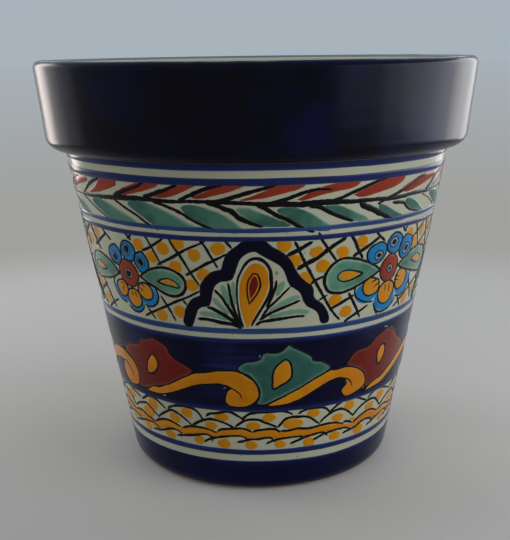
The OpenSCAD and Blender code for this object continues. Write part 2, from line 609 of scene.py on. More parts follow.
@dataclass(frozen=True)
class PotForm:
    """The turned form that every coat follows, in millimetres above the ground.

    Heights and cones are read from the frame's boxes. A box shows no thickness, inner radius or
    rounded edge, so these are fields.

    Attributes:
        wall_t: Thickness of the clay wall.
        inner_round: Radius of the lip's inner edge.
        foot_round: Radius of the foot's edge.
        drain_r: Radius of the drain hole.
        collar_low_t: Thickness of the collar at its lower edge.
        collar_lip_t: Its thickness at the lip.
        collar_round: Radius of its lower edge.
        lip_round: Radius of the lip's outer edge.
        lip_steps: Parts that this edge is turned in.
        glaze_t: Thickness of a glaze.
        brush_t: Thickness of the cobalt brushed on it.
        soft_edge: Distance from its edge at which brushed cobalt has that thickness.
        bare_foot: Height up to which the foot's edge is bare.
        lip_fall: How much lower the lip lies inside than at its crest.
        lip_reach: Depth below the lip at which that has died out.
        bed: How deep a coat reaches into what it lies on.
    """

    wall_t: float = 9.0
    inner_round: float = 4.0
    foot_round: float = 8.0
    drain_r: float = 9.0
    collar_low_t: float = 8.5
    collar_lip_t: float = 5.7
    collar_round: float = 6.0
    lip_round: float = 2.4
    lip_steps: int = 8
    glaze_t: float = 0.6
    brush_t: float = 0.3
    soft_edge: float = 0.8
    bare_foot: float = 2.3
    lip_fall: float = 1.5
    lip_reach: float = 25.0
    bed: float = 0.1

    @staticmethod
    def span(node: str) -> Point:
        """The lowest and highest point of a CAD node."""
        low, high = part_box(node)
        return low.z / MM, high.z / MM

    @staticmethod
    def reach(node: str) -> float:
        """The greatest radius of a CAD node."""
        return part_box(node)[1].x / MM

    @cached_property
    def height(self) -> float:
        """Height of the clay."""
        return self.span("clay_wall")[1]

    @cached_property
    def floor_t(self) -> float:
        """Thickness of the floor."""
        return self.span("floor_slab")[1]

    @cached_property
    def collar_z(self) -> float:
        """Height of the collar's clay underside."""
        return self.span("rim_collar")[0]

    @cached_property
    def lean(self) -> float:
        """How far the wall leans out for each millimetre of height."""
        out = self.reach("clay_wall") - self.reach("floor_slab")
        return out / (self.height - self.floor_t)

    @cached_property
    def slant(self) -> float:
        """Level thickness of a coat for each millimetre measured square to the wall."""
        return math.hypot(1.0, self.lean)

    @cached_property
    def lean_deg(self) -> float:
        """Lean of the wall in degrees."""
        return math.degrees(math.atan(self.lean))

    @cached_property
    def collar_lean(self) -> float:
        """Lean of the collar's face."""
        return self.lean + (self.collar_lip_t - self.collar_low_t) / (self.height - self.collar_z)

    @cached_property
    def collar_deg(self) -> float:
        """Lean of the collar's face in degrees."""
        return math.degrees(math.atan(self.collar_lean))

    @cached_property
    def bare_deg(self) -> float:
        """Turn of the foot edge where the glaze starts, in degrees."""
        return math.degrees(math.asin(self.bare_foot / self.foot_round - 1.0))

    def wall(self, z: float, t: float = 0.0) -> float:
        """Outer radius of the wall at height z under a coat of thickness t."""
        return self.reach("clay_wall") + self.lean * (z - self.height) + t * self.slant

    def bore(self, z: float, t: float = 0.0) -> float:
        """Inner radius of the wall at height z under a coat of thickness t."""
        return self.wall(z) - self.wall_t - t * self.slant

    def collar(self, z: float) -> float:
        """Radius of the collar's clay face at height z."""
        foot = self.wall(self.collar_z) + self.collar_low_t
        return foot + self.collar_lean * (z - self.collar_z)

    def foot_edge(self, t: float, start: float) -> list[Point]:
        """The rounded foot edge under a coat of thickness t, from an angle up to the wall."""
        centre = (self.wall(self.foot_round, -self.foot_round), self.foot_round)
        return arc(centre, self.foot_round + t, start, -self.lean_deg)

    def collar_edge(self, t: float) -> list[Point]:
        """The collar's rounded lower edge.

        Args:
            t: Thickness of the coat on it.

        Returns:
            Points from its underside to its face.
        """
        z = self.collar_z + self.collar_round
        centre = (self.collar(z) - self.collar_round * math.hypot(1.0, self.collar_lean), z)
        return arc(centre, self.collar_round + t, -90.0, -self.collar_deg)

    def lip_edge(self, t: float, start: float, end: float) -> list[Point]:
        """The lip's rounded outer edge.

        Args:
            t: Thickness of the coat on it.
            start: The angle where the points start, in degrees.
            end: The angle where they end.

        Returns:
            The points.
        """
        z = self.height - self.lip_round
        centre = (self.collar(z) - self.lip_round * math.hypot(1.0, self.collar_lean), z)
        return arc(centre, self.lip_round + t, start, end, self.lip_steps)

    def inner_edge(self, t: float) -> list[Point]:
        """The lip's rounded inner edge.

        Args:
            t: Thickness of the coat on it.

        Returns:
            Points from the top down to the bore.
        """
        z = self.height - self.inner_round
        centre = (self.bore(z, -self.inner_round), z)
        return arc(centre, self.inner_round + t, CREST, 180.0 - self.lean_deg)

    def slumped(self, p: Turn) -> Turn:
        """A profile point let down with the lip, which lies lower inside than at its crest.

        Args:
            p: The point.

        Returns:
            The point where it ends up.
        """
        crest = self.lip_edge(0.0, CREST, CREST)[0][0]
        share = min(1.0, max(0.0, (crest - p.r) / (crest - self.bore(self.height))))
        near = min(1.0, max(0.0, 1.0 - (self.height - p.z) / self.lip_reach))
        return replace(p, z=p.z - self.lip_fall * near * share * (2.0 - share))

    def slope(self, r: float, z: float) -> float:
        """Rise of the slumped lip over the millimetre about a point, going inwards."""
        return self.slumped(Turn(r - 0.5, z)).z - self.slumped(Turn(r + 0.5, z)).z

    def brushed(self, low: float, high: float, fade: float, loose: float) -> list[Turn]:
        """Outer side of a brushed band, which thins out at both edges.

        Args:
            low: Height of its lower edge.
            high: Height of its upper edge.
            fade: Distance from an edge at which the brush has covered fully.
            loose: Distance from an edge that its wander reaches.

        Returns:
            The points, from the lower edge to the upper.
        """
        soft = self.soft_edge
        rise = [0.0, 0.15, 0.4, soft]
        middle = high - low - 2.0 * soft
        count = max(2, math.ceil(middle / PROFILE_STEP))
        inner = [low + soft + middle * i / count for i in range(1, count)]
        heights = [low + d for d in rise] + inner + [high - d for d in reversed(rise)]
        turns = []
        for z in heights:
            far = min(z - low, high - z)
            side = Side.LOWER if z - low < high - z else Side.UPPER
            hold = max(0.0, 1.0 - far / loose)
            t = self.glaze_t + self.brush_t * math.sqrt(min(1.0, far / soft))
            slide = (self.lean * hold, hold)
            turns.append(Turn(self.wall(z, t), z, min(1.0, far / fade), slide, side))
        return turns


def thrown(g: Graph, angle: Value, height: Value) -> tuple[Value, Value]:
    """The unevenness of a hand-thrown pot, which only ever takes clay away.

    Args:
        g: The graph.
        angle: Angle round the pot, in radians.
        height: Height above the ground, in millimetres.

    Returns:
        The change of radius and of height, in millimetres.
    """
    x, y = g.math("COSINE", angle), g.math("SINE", angle)
    slow = g.noise(g.vector(x, y, height * 0.011), 1.1, 1.0)
    lines = g.noise(g.vector(x, y, height * 0.22), 0.9, 1.0)
    lip = g.noise(g.vector(x, y, 7.0), 1.3, 1.0)
    sink = (LIP_SINK + LIP_WAVE * lip) * g.ramp(height, *SINKING)
    return 0.0 - DENTS * slow - TURNING_LINES * lines, 0.0 - sink


def on_pot(g: Graph, angle: Value, radius: Value, height: Value) -> Value:
    """A place on the pot, in metres, from cylindrical millimetres.

    Args:
        g: The graph.
        angle: Angle round the pot, in radians, 0 facing the viewer.
        radius: Distance from the axis.
        height: Height above the ground.

    Returns:
        The position.
    """
    x = radius * MM * g.math("SINE", angle)
    y = radius * -MM * g.math("COSINE", angle)
    return g.vector(x, y, height * MM)


class NodeTool:
    """A Geometry Nodes tree with named inputs that turns an object into a finished plain mesh."""

    helpers: tuple[str, ...] = ()

    def __init__(self, name: str, inputs: dict[str, str]) -> None:
        """Starts the tree.

        Args:
            name: The tree's name.
            inputs: Socket types by the inputs' names.
        """
        self.tree = bpy.data.node_groups.new(name, "GeometryNodeTree")
        self.tree.is_modifier = True
        self.graph = Graph(self.tree)
        self.ids: dict[str, str] = {}
        kinds = {"Geometry": "NodeSocketGeometry", **inputs, "Finish": "NodeSocketMaterial"}
        for label, kind in kinds.items():
            socket = self.tree.interface.new_socket(label, in_out="INPUT", socket_type=kind)
            self.ids[label] = socket.identifier
        self.tree.interface.new_socket("Geometry", in_out="OUTPUT", socket_type="NodeSocketGeometry")
        self.given_node = self.tree.nodes.new("NodeGroupInput")

    def given(self, label: str) -> Value:
        """One of the tree's inputs."""
        return Value(self.graph, self.given_node.outputs[label])

    def stored(self, name: str) -> Value:
        """A number stored on the geometry."""
        return self.graph.node(
            "GeometryNodeInputNamedAttribute", {"data_type": "FLOAT"}, {"Name": name}, "Attribute"
        )

    def close(self, geometry: Value, position: Value) -> None:
        """Ends the tree: points set, instances realized, smooth, with the finish on.

        Args:
            geometry: The geometry.
            position: Where its points go.
        """
        g = self.graph
        moved = g.node("GeometryNodeSetPosition", None, {"Geometry": geometry, "Position": position})
        smooth = g.node("GeometryNodeSetShadeSmooth", None, {"Geometry": moved})
        real = g.node("GeometryNodeRealizeInstances", None, {"Geometry": smooth})
        sockets = {"Geometry": real, "Material": self.given("Finish")}
        dressed = g.node("GeometryNodeSetMaterial", None, sockets)
        g.node("NodeGroupOutput", None, {"Geometry": dressed})

    def run(self, name: str, start: bpy.types.Mesh, values: dict[str, object]) -> bpy.types.Object:
        """Makes a finished object.

        Args:
            name: Its name.
            start: The mesh that the tree starts from.
            values: The tree's inputs by name.

        Returns:
            The object, a plain mesh at the origin.
        """
        obj = bpy.data.objects.new(name, start)
        bpy.context.scene.collection.objects.link(obj)
        modifier = obj.modifiers.new(self.tree.name, "NODES")
        modifier.node_group = self.tree
        for label, value in values.items():
            modifier[self.ids[label]] = value
        graph = bpy.context.evaluated_depsgraph_get()
        mesh = bpy.data.meshes.new_from_object(
            obj.evaluated_get(graph), preserve_all_data_layers=True, depsgraph=graph
        )
        obj.modifiers.clear()
        obj.data = mesh
        bpy.data.meshes.remove(start)
        mesh.name = name
        for helper in self.helpers:
            if helper in mesh.attributes:
                mesh.attributes.remove(mesh.attributes[helper])
        if enclosed(mesh) < 0.0:
            mesh.flip_normals()
        return obj


def enclosed(mesh: bpy.types.Mesh) -> float:
    """Measures what a closed mesh holds.

    Args:
        mesh: The mesh.

    Returns:
        Its volume, negative where its faces point inwards.
    """
    mesh.calc_loop_triangles()
    corners = np.empty(len(mesh.loop_triangles) * 3, np.int32)
    mesh.loop_triangles.foreach_get("vertices", corners)
    places = np.empty(len(mesh.vertices) * 3, np.float32)
    mesh.vertices.foreach_get("co", places)
    a, b, c = places.reshape(-1, 3)[corners.reshape(-1, 3)].astype(float).swapaxes(0, 1)
    return float(np.einsum("ij,ij->i", a, np.cross(b, c)).sum()) / 6.0


def store(mesh: bpy.types.Mesh, name: str, values: Sequence[float]) -> None:
    """Stores a number on each point of a mesh."""
    mesh.attributes.new(name, "FLOAT", "POINT").data.foreach_set("value", list(values))


class Wheel(NodeTool):
    """Turns a coat's half profile round the pot's axis, with a hand's unevenness.

    Attributes:
        segments: Parts that a coat is turned in.
        wander_scale: Scale of the noise that its edges wander with.
        apart: Distance in that noise between its two edges.
    """

    helpers = ("reach", "rise", "slide_r", "slide_z", "side", "turn")
    segments = 288
    wander_scale = 2.4
    apart = 4.3

    def __init__(self) -> None:
        """Draws the tree."""
        inputs = {"Segments": "NodeSocketInt", "Wander": "NodeSocketFloat", "Seed": "NodeSocketFloat"}
        super().__init__("turned_coat", inputs)
        g = self.graph
        profile = g.node("GeometryNodeMeshToCurve", None, {"Mesh": self.given("Geometry")})
        circle = g.node(
            "GeometryNodeCurvePrimitiveCircle", {"mode": "RADIUS"}, {"Resolution": self.given("Segments")}
        )
        share = g.node("GeometryNodeSplineParameter", output="Factor")
        path = g.node(
            "GeometryNodeStoreNamedAttribute",
            {"data_type": "FLOAT", "domain": "POINT"},
            {"Geometry": circle, "Name": "turn", "Value": share},
        )
        skin = g.node("GeometryNodeCurveToMesh", None, {"Curve": path, "Profile Curve": profile})
        angle = self.stored("turn") * math.tau
        x, y = g.math("COSINE", angle), g.math("SINE", angle)
        along = g.vector(x, y, self.given("Seed") + self.stored("side") * self.apart)
        wander = (g.noise(along, self.wander_scale, 3.0) - 0.5) * 2.0 * self.given("Wander")
        radius = self.stored("reach") + self.stored("slide_r") * wander
        height = self.stored("rise") + self.stored("slide_z") * wander
        out, drop = thrown(g, angle, height)
        self.close(skin, on_pot(g, angle, radius + out, height + drop))

    def turn(
        self, name: str, profile: Sequence[Turn], finish: Finish, wander: float = 0.0, seed: float = 0.0
    ) -> bpy.types.Object:
        """Turns a coat.

        Args:
            name: The piece's name.
            profile: Its closed half profile.
            finish: Its surface.
            wander: How far its edges wander, in millimetres.
            seed: Picks the way they wander.

        Returns:
            The piece.
        """
        mesh = bpy.data.meshes.new(name + "_profile")
        count = len(profile)
        places = [(p.r * MM, 0.0, p.z * MM) for p in profile]
        mesh.from_pydata(places, [(i, (i + 1) % count) for i in range(count)], [])
        store(mesh, "reach", [p.r for p in profile])
        store(mesh, "rise", [p.z for p in profile])
        store(mesh, "edge", [p.edge for p in profile])
        store(mesh, "slide_r", [p.slide[0] for p in profile])
        store(mesh, "slide_z", [p.slide[1] for p in profile])
        store(mesh, "side", [p.side.value for p in profile])
        values = {"Segments": self.segments, "Wander": wander, "Seed": seed, "Finish": finish.material()}
        return self.run(name, mesh, values)


@dataclass(frozen=True)
class Place:
    """Where a motif is painted.

    Attributes:
        angle: Degrees round the pot.
        stretch: How far it is drawn out round the pot.
    """

    angle: float
    stretch: float = 1.0


def panels(start: float, end: float, count: int) -> list[Place]:
    """Places of a long motif, drawn once for the front and stretched to fill the rest of the round.

    Args:
        start: The angle where the drawn motif starts.
        end: The angle where it ends.
        count: How many times it goes round the pot.

    Returns:
        The places, the drawn one first.
    """
    width = (360.0 - (end - start)) / (count - 1)
    stretch = width / (end - start)
    rest = [Place(end + width * i - start * stretch, stretch) for i in range(count - 1)]
    return [Place(0.0), *rest]


class Easel(NodeTool):
    """Repeats a flat motif round the pot and wraps it on the glazed wall.

    Attributes:
        shakes: The hand's slow and quick tremor, each the scale of its noise and its reach.
        drum: Mean radius of the wall, on which the tremor is measured.
        apart: Distance in its noise between the tremor round the pot and up it.
    """

    helpers = ("stretch",)
    shakes = ((0.07, 1.6), (0.55, 0.5))
    drum = 82.0
    apart = 300.0

    def __init__(self, form: PotForm) -> None:
        """Draws the tree for a pot.

        Args:
            form: The pot's form.
        """
        inputs = {
            "Motif": "NodeSocketObject", "Degree": "NodeSocketFloat", "Lift": "NodeSocketFloat",
        }
        super().__init__("painted_motif", inputs)
        g = self.graph
        motif = g.node("GeometryNodeObjectInfo", None, {"Object": self.given("Motif")}, "Geometry")
        scale = g.vector(self.stored("stretch"), 1.0, 1.0)
        sockets = {"Points": self.given("Geometry"), "Instance": motif, "Scale": scale}
        many = g.node("GeometryNodeInstanceOnPoints", None, sockets)
        flat = g.node("GeometryNodeRealizeInstances", None, {"Geometry": many})
        at = g.node("ShaderNodeSeparateXYZ", None, {0: g.node("GeometryNodeInputPosition")})
        drawn, up, off = at, at.output("Y"), at.output("Z") + self.given("Lift")
        angle = drawn / self.given("Degree") * math.radians(1.0)
        x, y = g.math("COSINE", angle) * self.drum, g.math("SINE", angle) * self.drum
        round_pot, up_pot = (self.shake(g.vector(x, y, up + apart)) for apart in (0.0, self.apart))
        angle, up = angle + round_pot / self.drum, up + up_pot
        out, drop = thrown(g, angle, up)
        radius = form.wall(0.0, form.glaze_t) + form.lean * up + out + off / form.slant
        height = up + drop - off * (form.lean / form.slant)
        self.close(flat, on_pot(g, angle, radius, height))

    def shake(self, at: Value) -> Value:
        """The hand's tremor at a place on the drum, in millimetres."""
        slow, quick = ((self.graph.noise(at, scale, 1.0) - 0.5) * reach for scale, reach in self.shakes)
        return slow + quick

    def lay(
        self, name: str, paint: "FlatPaint", finish: Finish, places: Sequence[Place], lift: float = 0.0
    ) -> bpy.types.Object:
        """Paints a motif round the pot.

        Args:
            name: The piece's name.
            paint: The motif.
            finish: Its colour.
            places: Where it is painted.
            lift: How far its ground stands off the white glaze, in millimetres.

        Returns:
            The piece.
        """
        motif = bpy.data.objects.new(name + "_motif", paint.mesh(name + "_motif"))
        points = bpy.data.meshes.new(name + "_places")
        points.from_pydata([(p.angle * paint.degree, 0.0, 0.0) for p in places], [], [])
        store(points, "stretch", [p.stretch for p in places])
        values = {"Motif": motif, "Degree": paint.degree, "Lift": lift, "Finish": finish.material()}
        piece = self.run(name, points, values)
        drawn = motif.data
        bpy.data.objects.remove(motif)
        bpy.data.meshes.remove(drawn)
        return piece


def smooth_path(points: np.ndarray, spacing: float, closed: bool, corners: Sequence[int]) -> np.ndarray:
    """A smooth curve through points, sampled evenly.

    Args:
        points: The points.
        spacing: Distance between samples.
        closed: Whether the curve returns to its start.
        corners: Indices of points where it turns sharply.

    Returns:
        The samples.
    """
    count = len(points)
    sharp = {c % count for c in corners}
    path = []
    for i in range(count if closed else count - 1):
        j = (i + 1) % count
        here, there = points[i], points[j]
        before = points[i - 1] if closed or i else here
        after = points[(i + 2) % count] if closed or i + 2 < count else there
        length = np.linalg.norm(there - here)
        leave = there - (here if i in sharp else before)
        arrive = (there if j in sharp else after) - here
        leave = leave * length / max(np.linalg.norm(leave), TINY)
        arrive = arrive * length / max(np.linalg.norm(arrive), TINY)
        parts = max(2, round(length / spacing))
        for t in np.arange(parts) / parts:
            s = 1.0 - t
            path.append(
                s * s * (1.0 + 2.0 * t) * here + t * t * (3.0 - 2.0 * t) * there
                + t * s * s * leave - t * t * s * arrive
            )
    if not closed:
        path.append(points[-1])
    return np.array(path)


def edge_distance(points: np.ndarray, outline: np.ndarray) -> np.ndarray:
    """Distance of points from an outline, negative outside it.

    Args:
        points: The points.
        outline: The closed outline.

    Returns:
        A distance for each point.
    """
    start, end = outline, np.roll(outline, -1, axis=0)
    along = end - start
    to = points[:, None] - start[None]
    share = (to * along).sum(-1) / np.maximum((along * along).sum(-1), 1e-12)
    near = to - np.clip(share, 0.0, 1.0)[..., None] * along
    distance = np.sqrt((near * near).sum(-1)).min(1)
    y = points[:, 1:]
    spans = (start[:, 1] > y) != (end[:, 1] > y)
    rise = np.where(along[:, 1] == 0.0, 1.0, along[:, 1])
    cross = start[:, 0] + (y - start[:, 1]) / rise * along[:, 0]
    inside = (spans & (points[:, :1] < cross)).sum(1) % 2 == 1
    return np.where(inside, distance, -distance)


class FlatPaint:
    """Enamel shapes of one colour, drawn flat and raised by their thickness.

    In the mesh x runs round the pot, y up it and z off the glaze, all in millimetres.

    Attributes:
        sink: How deep the enamel reaches into what it lies on.
        relief: Share of the thicknesses named in the drawing that is built.
        stroke_step: Distance between the sections of a stroke.
        section: A section's points, as shares of half its width and of its thickness.
        underside: Width of its underside, as a share.
        waver: Least and greatest width of an uneven stroke, as a share.
        lift_off: Widths of a stroke from where it starts to where it lifts off, as shares.
        oval_points: How many points an oval has.
        oval_waver: Least and greatest radius of an uneven oval, as a share.
        outline_step: Distance between the points of a patch's outline.
        ring: Distance from that outline of the first ring of points inside it.
        rim: Distance from it at which the patch is at its full height.
        gap: Least distance from there to the points in the middle.
        fill_step: Distance between those.
        kept: Share of an inset that a point must lie inside the outline.
    """

    sink = 0.2
    relief = 0.5
    stroke_step = 1.1
    section = ((-1.0, 0.0), (-0.6, 0.8), (0.0, 1.0), (0.6, 0.8), (1.0, 0.0))
    underside = 0.9
    waver = (0.9, 1.1)
    lift_off = (0.95, 1.05, 0.75)
    oval_points = 10
    oval_waver = (0.93, 1.06)
    outline_step = 0.9
    ring = 0.35
    rim = 0.9
    gap = 0.5
    fill_step = 1.9
    kept = 0.93

    def __init__(self, degree: float, seed: int = 1) -> None:
        """Starts with no shapes.

        Args:
            degree: Millimetres round the wall for each degree.
            seed: Picks the unevenness of the brush.
        """
        self.degree = degree
        self.rand = random.Random(seed)
        self.points: list[tuple[float, float, float]] = []
        self.faces: list[tuple[int, ...]] = []
        self.edge: list[float] = []
        self.flow: list[float] = []

    def flat(self, points: Path) -> np.ndarray:
        """Degrees and heights as flat millimetres."""
        return np.array(points, float) * (self.degree, 1.0)

    def line(
        self, points: Path, width: Sequence[float] = (1.0, 1.4, 0.9), level: float = 0.36,
        closed: bool = False, corners: Sequence[int] = (),
    ) -> None:
        """Draws a brush stroke with a rounded back.

        Args:
            points: The points that it passes through.
            width: Its widths along the way, at even distances.
            level: Its thickness.
            closed: Whether it returns to its start.
            corners: Indices of points where it turns sharply.
        """
        path = smooth_path(self.flat(points), self.stroke_step, closed, corners)
        step = np.roll(path, -1, axis=0) - path
        tangent = step + np.roll(step, 1, axis=0)
        if not closed:
            tangent[0], tangent[-1] = step[0], step[-2]
        tangent /= np.maximum(np.linalg.norm(tangent, axis=1, keepdims=True), TINY)
        across = np.stack([tangent[:, 1], -tangent[:, 0]], axis=1)
        run = np.concatenate([[0.0], np.cumsum(np.linalg.norm(np.diff(path, axis=0), axis=1))])
        share = run / run[-1]
        half = np.interp(share, np.linspace(0.0, 1.0, len(width)), width) / 2.0
        half *= [self.rand.uniform(*self.waver) for _ in path]
        if not closed:
            close = np.minimum(run, run[-1] - run) / np.maximum(half, 0.2)
            half *= np.sqrt(np.clip(close, 0.06, 1.0))
        level *= self.relief
        size = len(self.section) + 2
        base = len(self.points)
        for (x, y), (ax, ay), h, s in zip(path, across, half, share):
            for reach, rise in self.section:
                self.points.append((x + ax * h * reach, y + ay * h * reach, level * rise))
                self.edge.append(rise)
            for reach in (self.underside, -self.underside):
                self.points.append((x + ax * h * reach, y + ay * h * reach, -self.sink))
                self.edge.append(0.0)
            self.flow += [float(s)] * size
        count = len(path)
        for i in range(count if closed else count - 1):
            a, b = base + i * size, base + (i + 1) % count * size
            for k in range(size):
                self.faces.append((a + k, a + (k + 1) % size, b + (k + 1) % size, b + k))
        if not closed:
            last = base + (count - 1) * size
            self.faces.append(tuple(base + k for k in reversed(range(size))))
            self.faces.append(tuple(last + k for k in range(size)))

    def strokes(self, strokes: Sequence[Stroke], level: float) -> None:
        """Draws strokes that start full and lift off thinner."""
        for width, points in strokes:
            self.line(points, [width * share for share in self.lift_off], level)

    def oval(self, x: float, z: float, wide: float, high: float) -> list[Point]:
        """Draws an uneven oval.

        Args:
            x: Its centre, in degrees.
            z: The centre's height.
            wide: Half its width, in millimetres.
            high: Half its height.

        Returns:
            Its outline.
        """
        turns = [math.tau * i / self.oval_points for i in range(self.oval_points)]
        reach = [self.rand.uniform(*self.oval_waver) for _ in turns]
        across = wide / self.degree
        return [(x + across * k * math.cos(a), z + high * k * math.sin(a)) for a, k in zip(turns, reach)]

    def patch(
        self, points: Path, level: float = 0.18, inset: float = 0.0, corners: Sequence[int] = (),
        flow: tuple[Point, Point] | None = None, blush: float = 1.6,
    ) -> None:
        """Fills an outline with a low cushion of paint.

        Args:
            points: The outline.
            level: Its thickness.
            inset: How far the paint stays inside the outline, in millimetres.
            corners: Indices of points where the outline turns sharply.
            flow: Where the wet paint ran from and to.
            blush: Distance from the edge at which the colour is full.
        """
        outline = smooth_path(self.flat(points), self.outline_step, True, corners)
        if inset:
            outline = self.shrunk(outline, inset)
        rows = [np.arange(*ends, self.fill_step) for ends in zip(outline.min(0), outline.max(0))]
        fills = [self.shrunk(outline, self.ring), self.shrunk(outline, self.rim)]
        middle = np.stack(np.meshgrid(*rows), -1).reshape(-1, 2)
        middle = middle[edge_distance(middle, outline) > self.rim + self.gap]
        every = np.concatenate([outline, *fills, middle])
        made = delaunay_2d_cdt([Vector(p) for p in every], [], [list(range(len(outline)))], 1, 1e-4)
        flat = np.array([(p.x, p.y) for p in made[0]])
        deep = np.maximum(edge_distance(flat, outline), 0.0)
        deep[deep < 1e-3] = 0.0
        rise = level * self.relief * np.sqrt(1.0 - (1.0 - np.minimum(deep / self.rim, 1.0)) ** 2)
        ends = self.flat(flow or (points[0], points[len(points) // 2]))
        way = ends[1] - ends[0]
        run = np.clip((flat - ends[0]) @ way / max(way @ way, TINY), 0.0, 1.0)
        base, count = len(self.points), len(flat)
        self.points += [(x, y, z) for (x, y), z in zip(flat, rise)]
        self.points += [(x, y, -self.sink) for x, y in flat]
        self.edge += [*np.minimum(deep / blush, 1.0)] + [0.0] * count
        self.flow += [*run, *run]
        sides: dict[tuple[int, int], int] = {}
        for a, b, c in made[2]:
            self.faces.append((base + a, base + b, base + c))
            self.faces.append((base + count + c, base + count + b, base + count + a))
            for pair in ((a, b), (b, c), (c, a)):
                sides[pair] = sides.get(pair[::-1], 0) + 1
        for a, b in sides:
            if (b, a) not in sides:
                self.faces.append((base + b, base + a, base + count + a, base + count + b))

    def shrunk(self, outline: np.ndarray, inset: float) -> np.ndarray:
        """An outline drawn in, with the points dropped that would cross it.

        Args:
            outline: The outline.
            inset: How far it is drawn in.

        Returns:
            The points that are left.
        """
        tangent = np.roll(outline, -1, axis=0) - np.roll(outline, 1, axis=0)
        tangent /= np.maximum(np.linalg.norm(tangent, axis=1, keepdims=True), TINY)
        normal = np.stack([-tangent[:, 1], tangent[:, 0]], axis=1)
        x, y = outline[:, 0], outline[:, 1]
        if (x * np.roll(y, -1) - y * np.roll(x, -1)).sum() < 0.0:
            normal = -normal
        inner = outline + normal * inset
        return inner[edge_distance(inner, outline) > inset * self.kept]

    def dot(self, centre: Point, size: Point, level: float = 0.18, blush: float = 1.8) -> None:
        """Sets down a round dab.

        Args:
            centre: Its centre.
            size: Its width and height in millimetres.
            level: Its thickness.
            blush: Distance from the edge at which the colour is full.
        """
        self.patch(self.oval(*centre, size[0] / 2.0, size[1] / 2.0), level, blush=blush)

    def mesh(self, name: str) -> bpy.types.Mesh:
        """The shapes as one mesh with its edge and flow stored.

        Args:
            name: The mesh's name.

        Returns:
            The mesh.
        """
        mesh = bpy.data.meshes.new(name)
        mesh.from_pydata(self.points, [], self.faces)
        store(mesh, "edge", self.edge)
        store(mesh, "flow", self.flow)
        work = bmesh.new()
        work.from_mesh(mesh)
        bmesh.ops.recalc_face_normals(work, faces=work.faces)
        work.to_mesh(mesh)
        work.free()
        return mesh


@dataclass
class Workshop:
    """Where the pot is made and its finished pieces are handed over.

    Attributes:
        form: The pot's form.
        wheel: What turns its coats.
        easel: What paints its ornament.
        count: How many pieces are finished.
    """

    form: PotForm
    wheel: Wheel
    easel: Easel
    count: int = 0

    def degree(self, z: float) -> float:
        """Millimetres round the glazed wall for each degree at a height."""
        return math.radians(self.form.wall(z, self.form.glaze_t))

    def settle(self, piece: bpy.types.Object, node: str | None = None) -> None:
        """Hands a finished piece to the frame.

        Args:
            piece: The piece.
            node: The CAD node that it stands for.
        """
        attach(piece, BODY)
        if node:
            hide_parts(node)
        self.count += 1
        LOG.info("%s: %d faces", piece.name, len(piece.data.polygons))

    def coat(
        self, node: str, profile: Sequence[Turn], finish: Finish, slot: Slot, wander: float = 0.0
    ) -> None:
        """Turns the coat that stands for a CAD node.

        Args:
            node: The node.
            profile: The coat's closed half profile.
            finish: Its surface.
            slot: Its material slot; not used.
            wander: How far its edges wander, in millimetres.
        """
        lowered = [self.form.slumped(p) for p in profile]
        piece = self.wheel.turn(node + "_fired", lowered, finish, wander, seed=1.7 * self.count)
        self.settle(piece, node)

    def paint(
        self, name: str, paint: FlatPaint, finish: Finish, places: Sequence[Place],
        slot: Slot | None = None, lift: float = 0.0,
    ) -> None:
        """Paints a motif round the wall.

        Args:
            name: The piece's name.
            paint: The motif.
            finish: Its colour.
            places: Where it is painted.
            slot: Its material slot, where the record has one; not used.
            lift: How far its ground stands off the white glaze, in millimetres.
        """
        self.settle(self.easel.lay(name, paint, finish, places, lift))


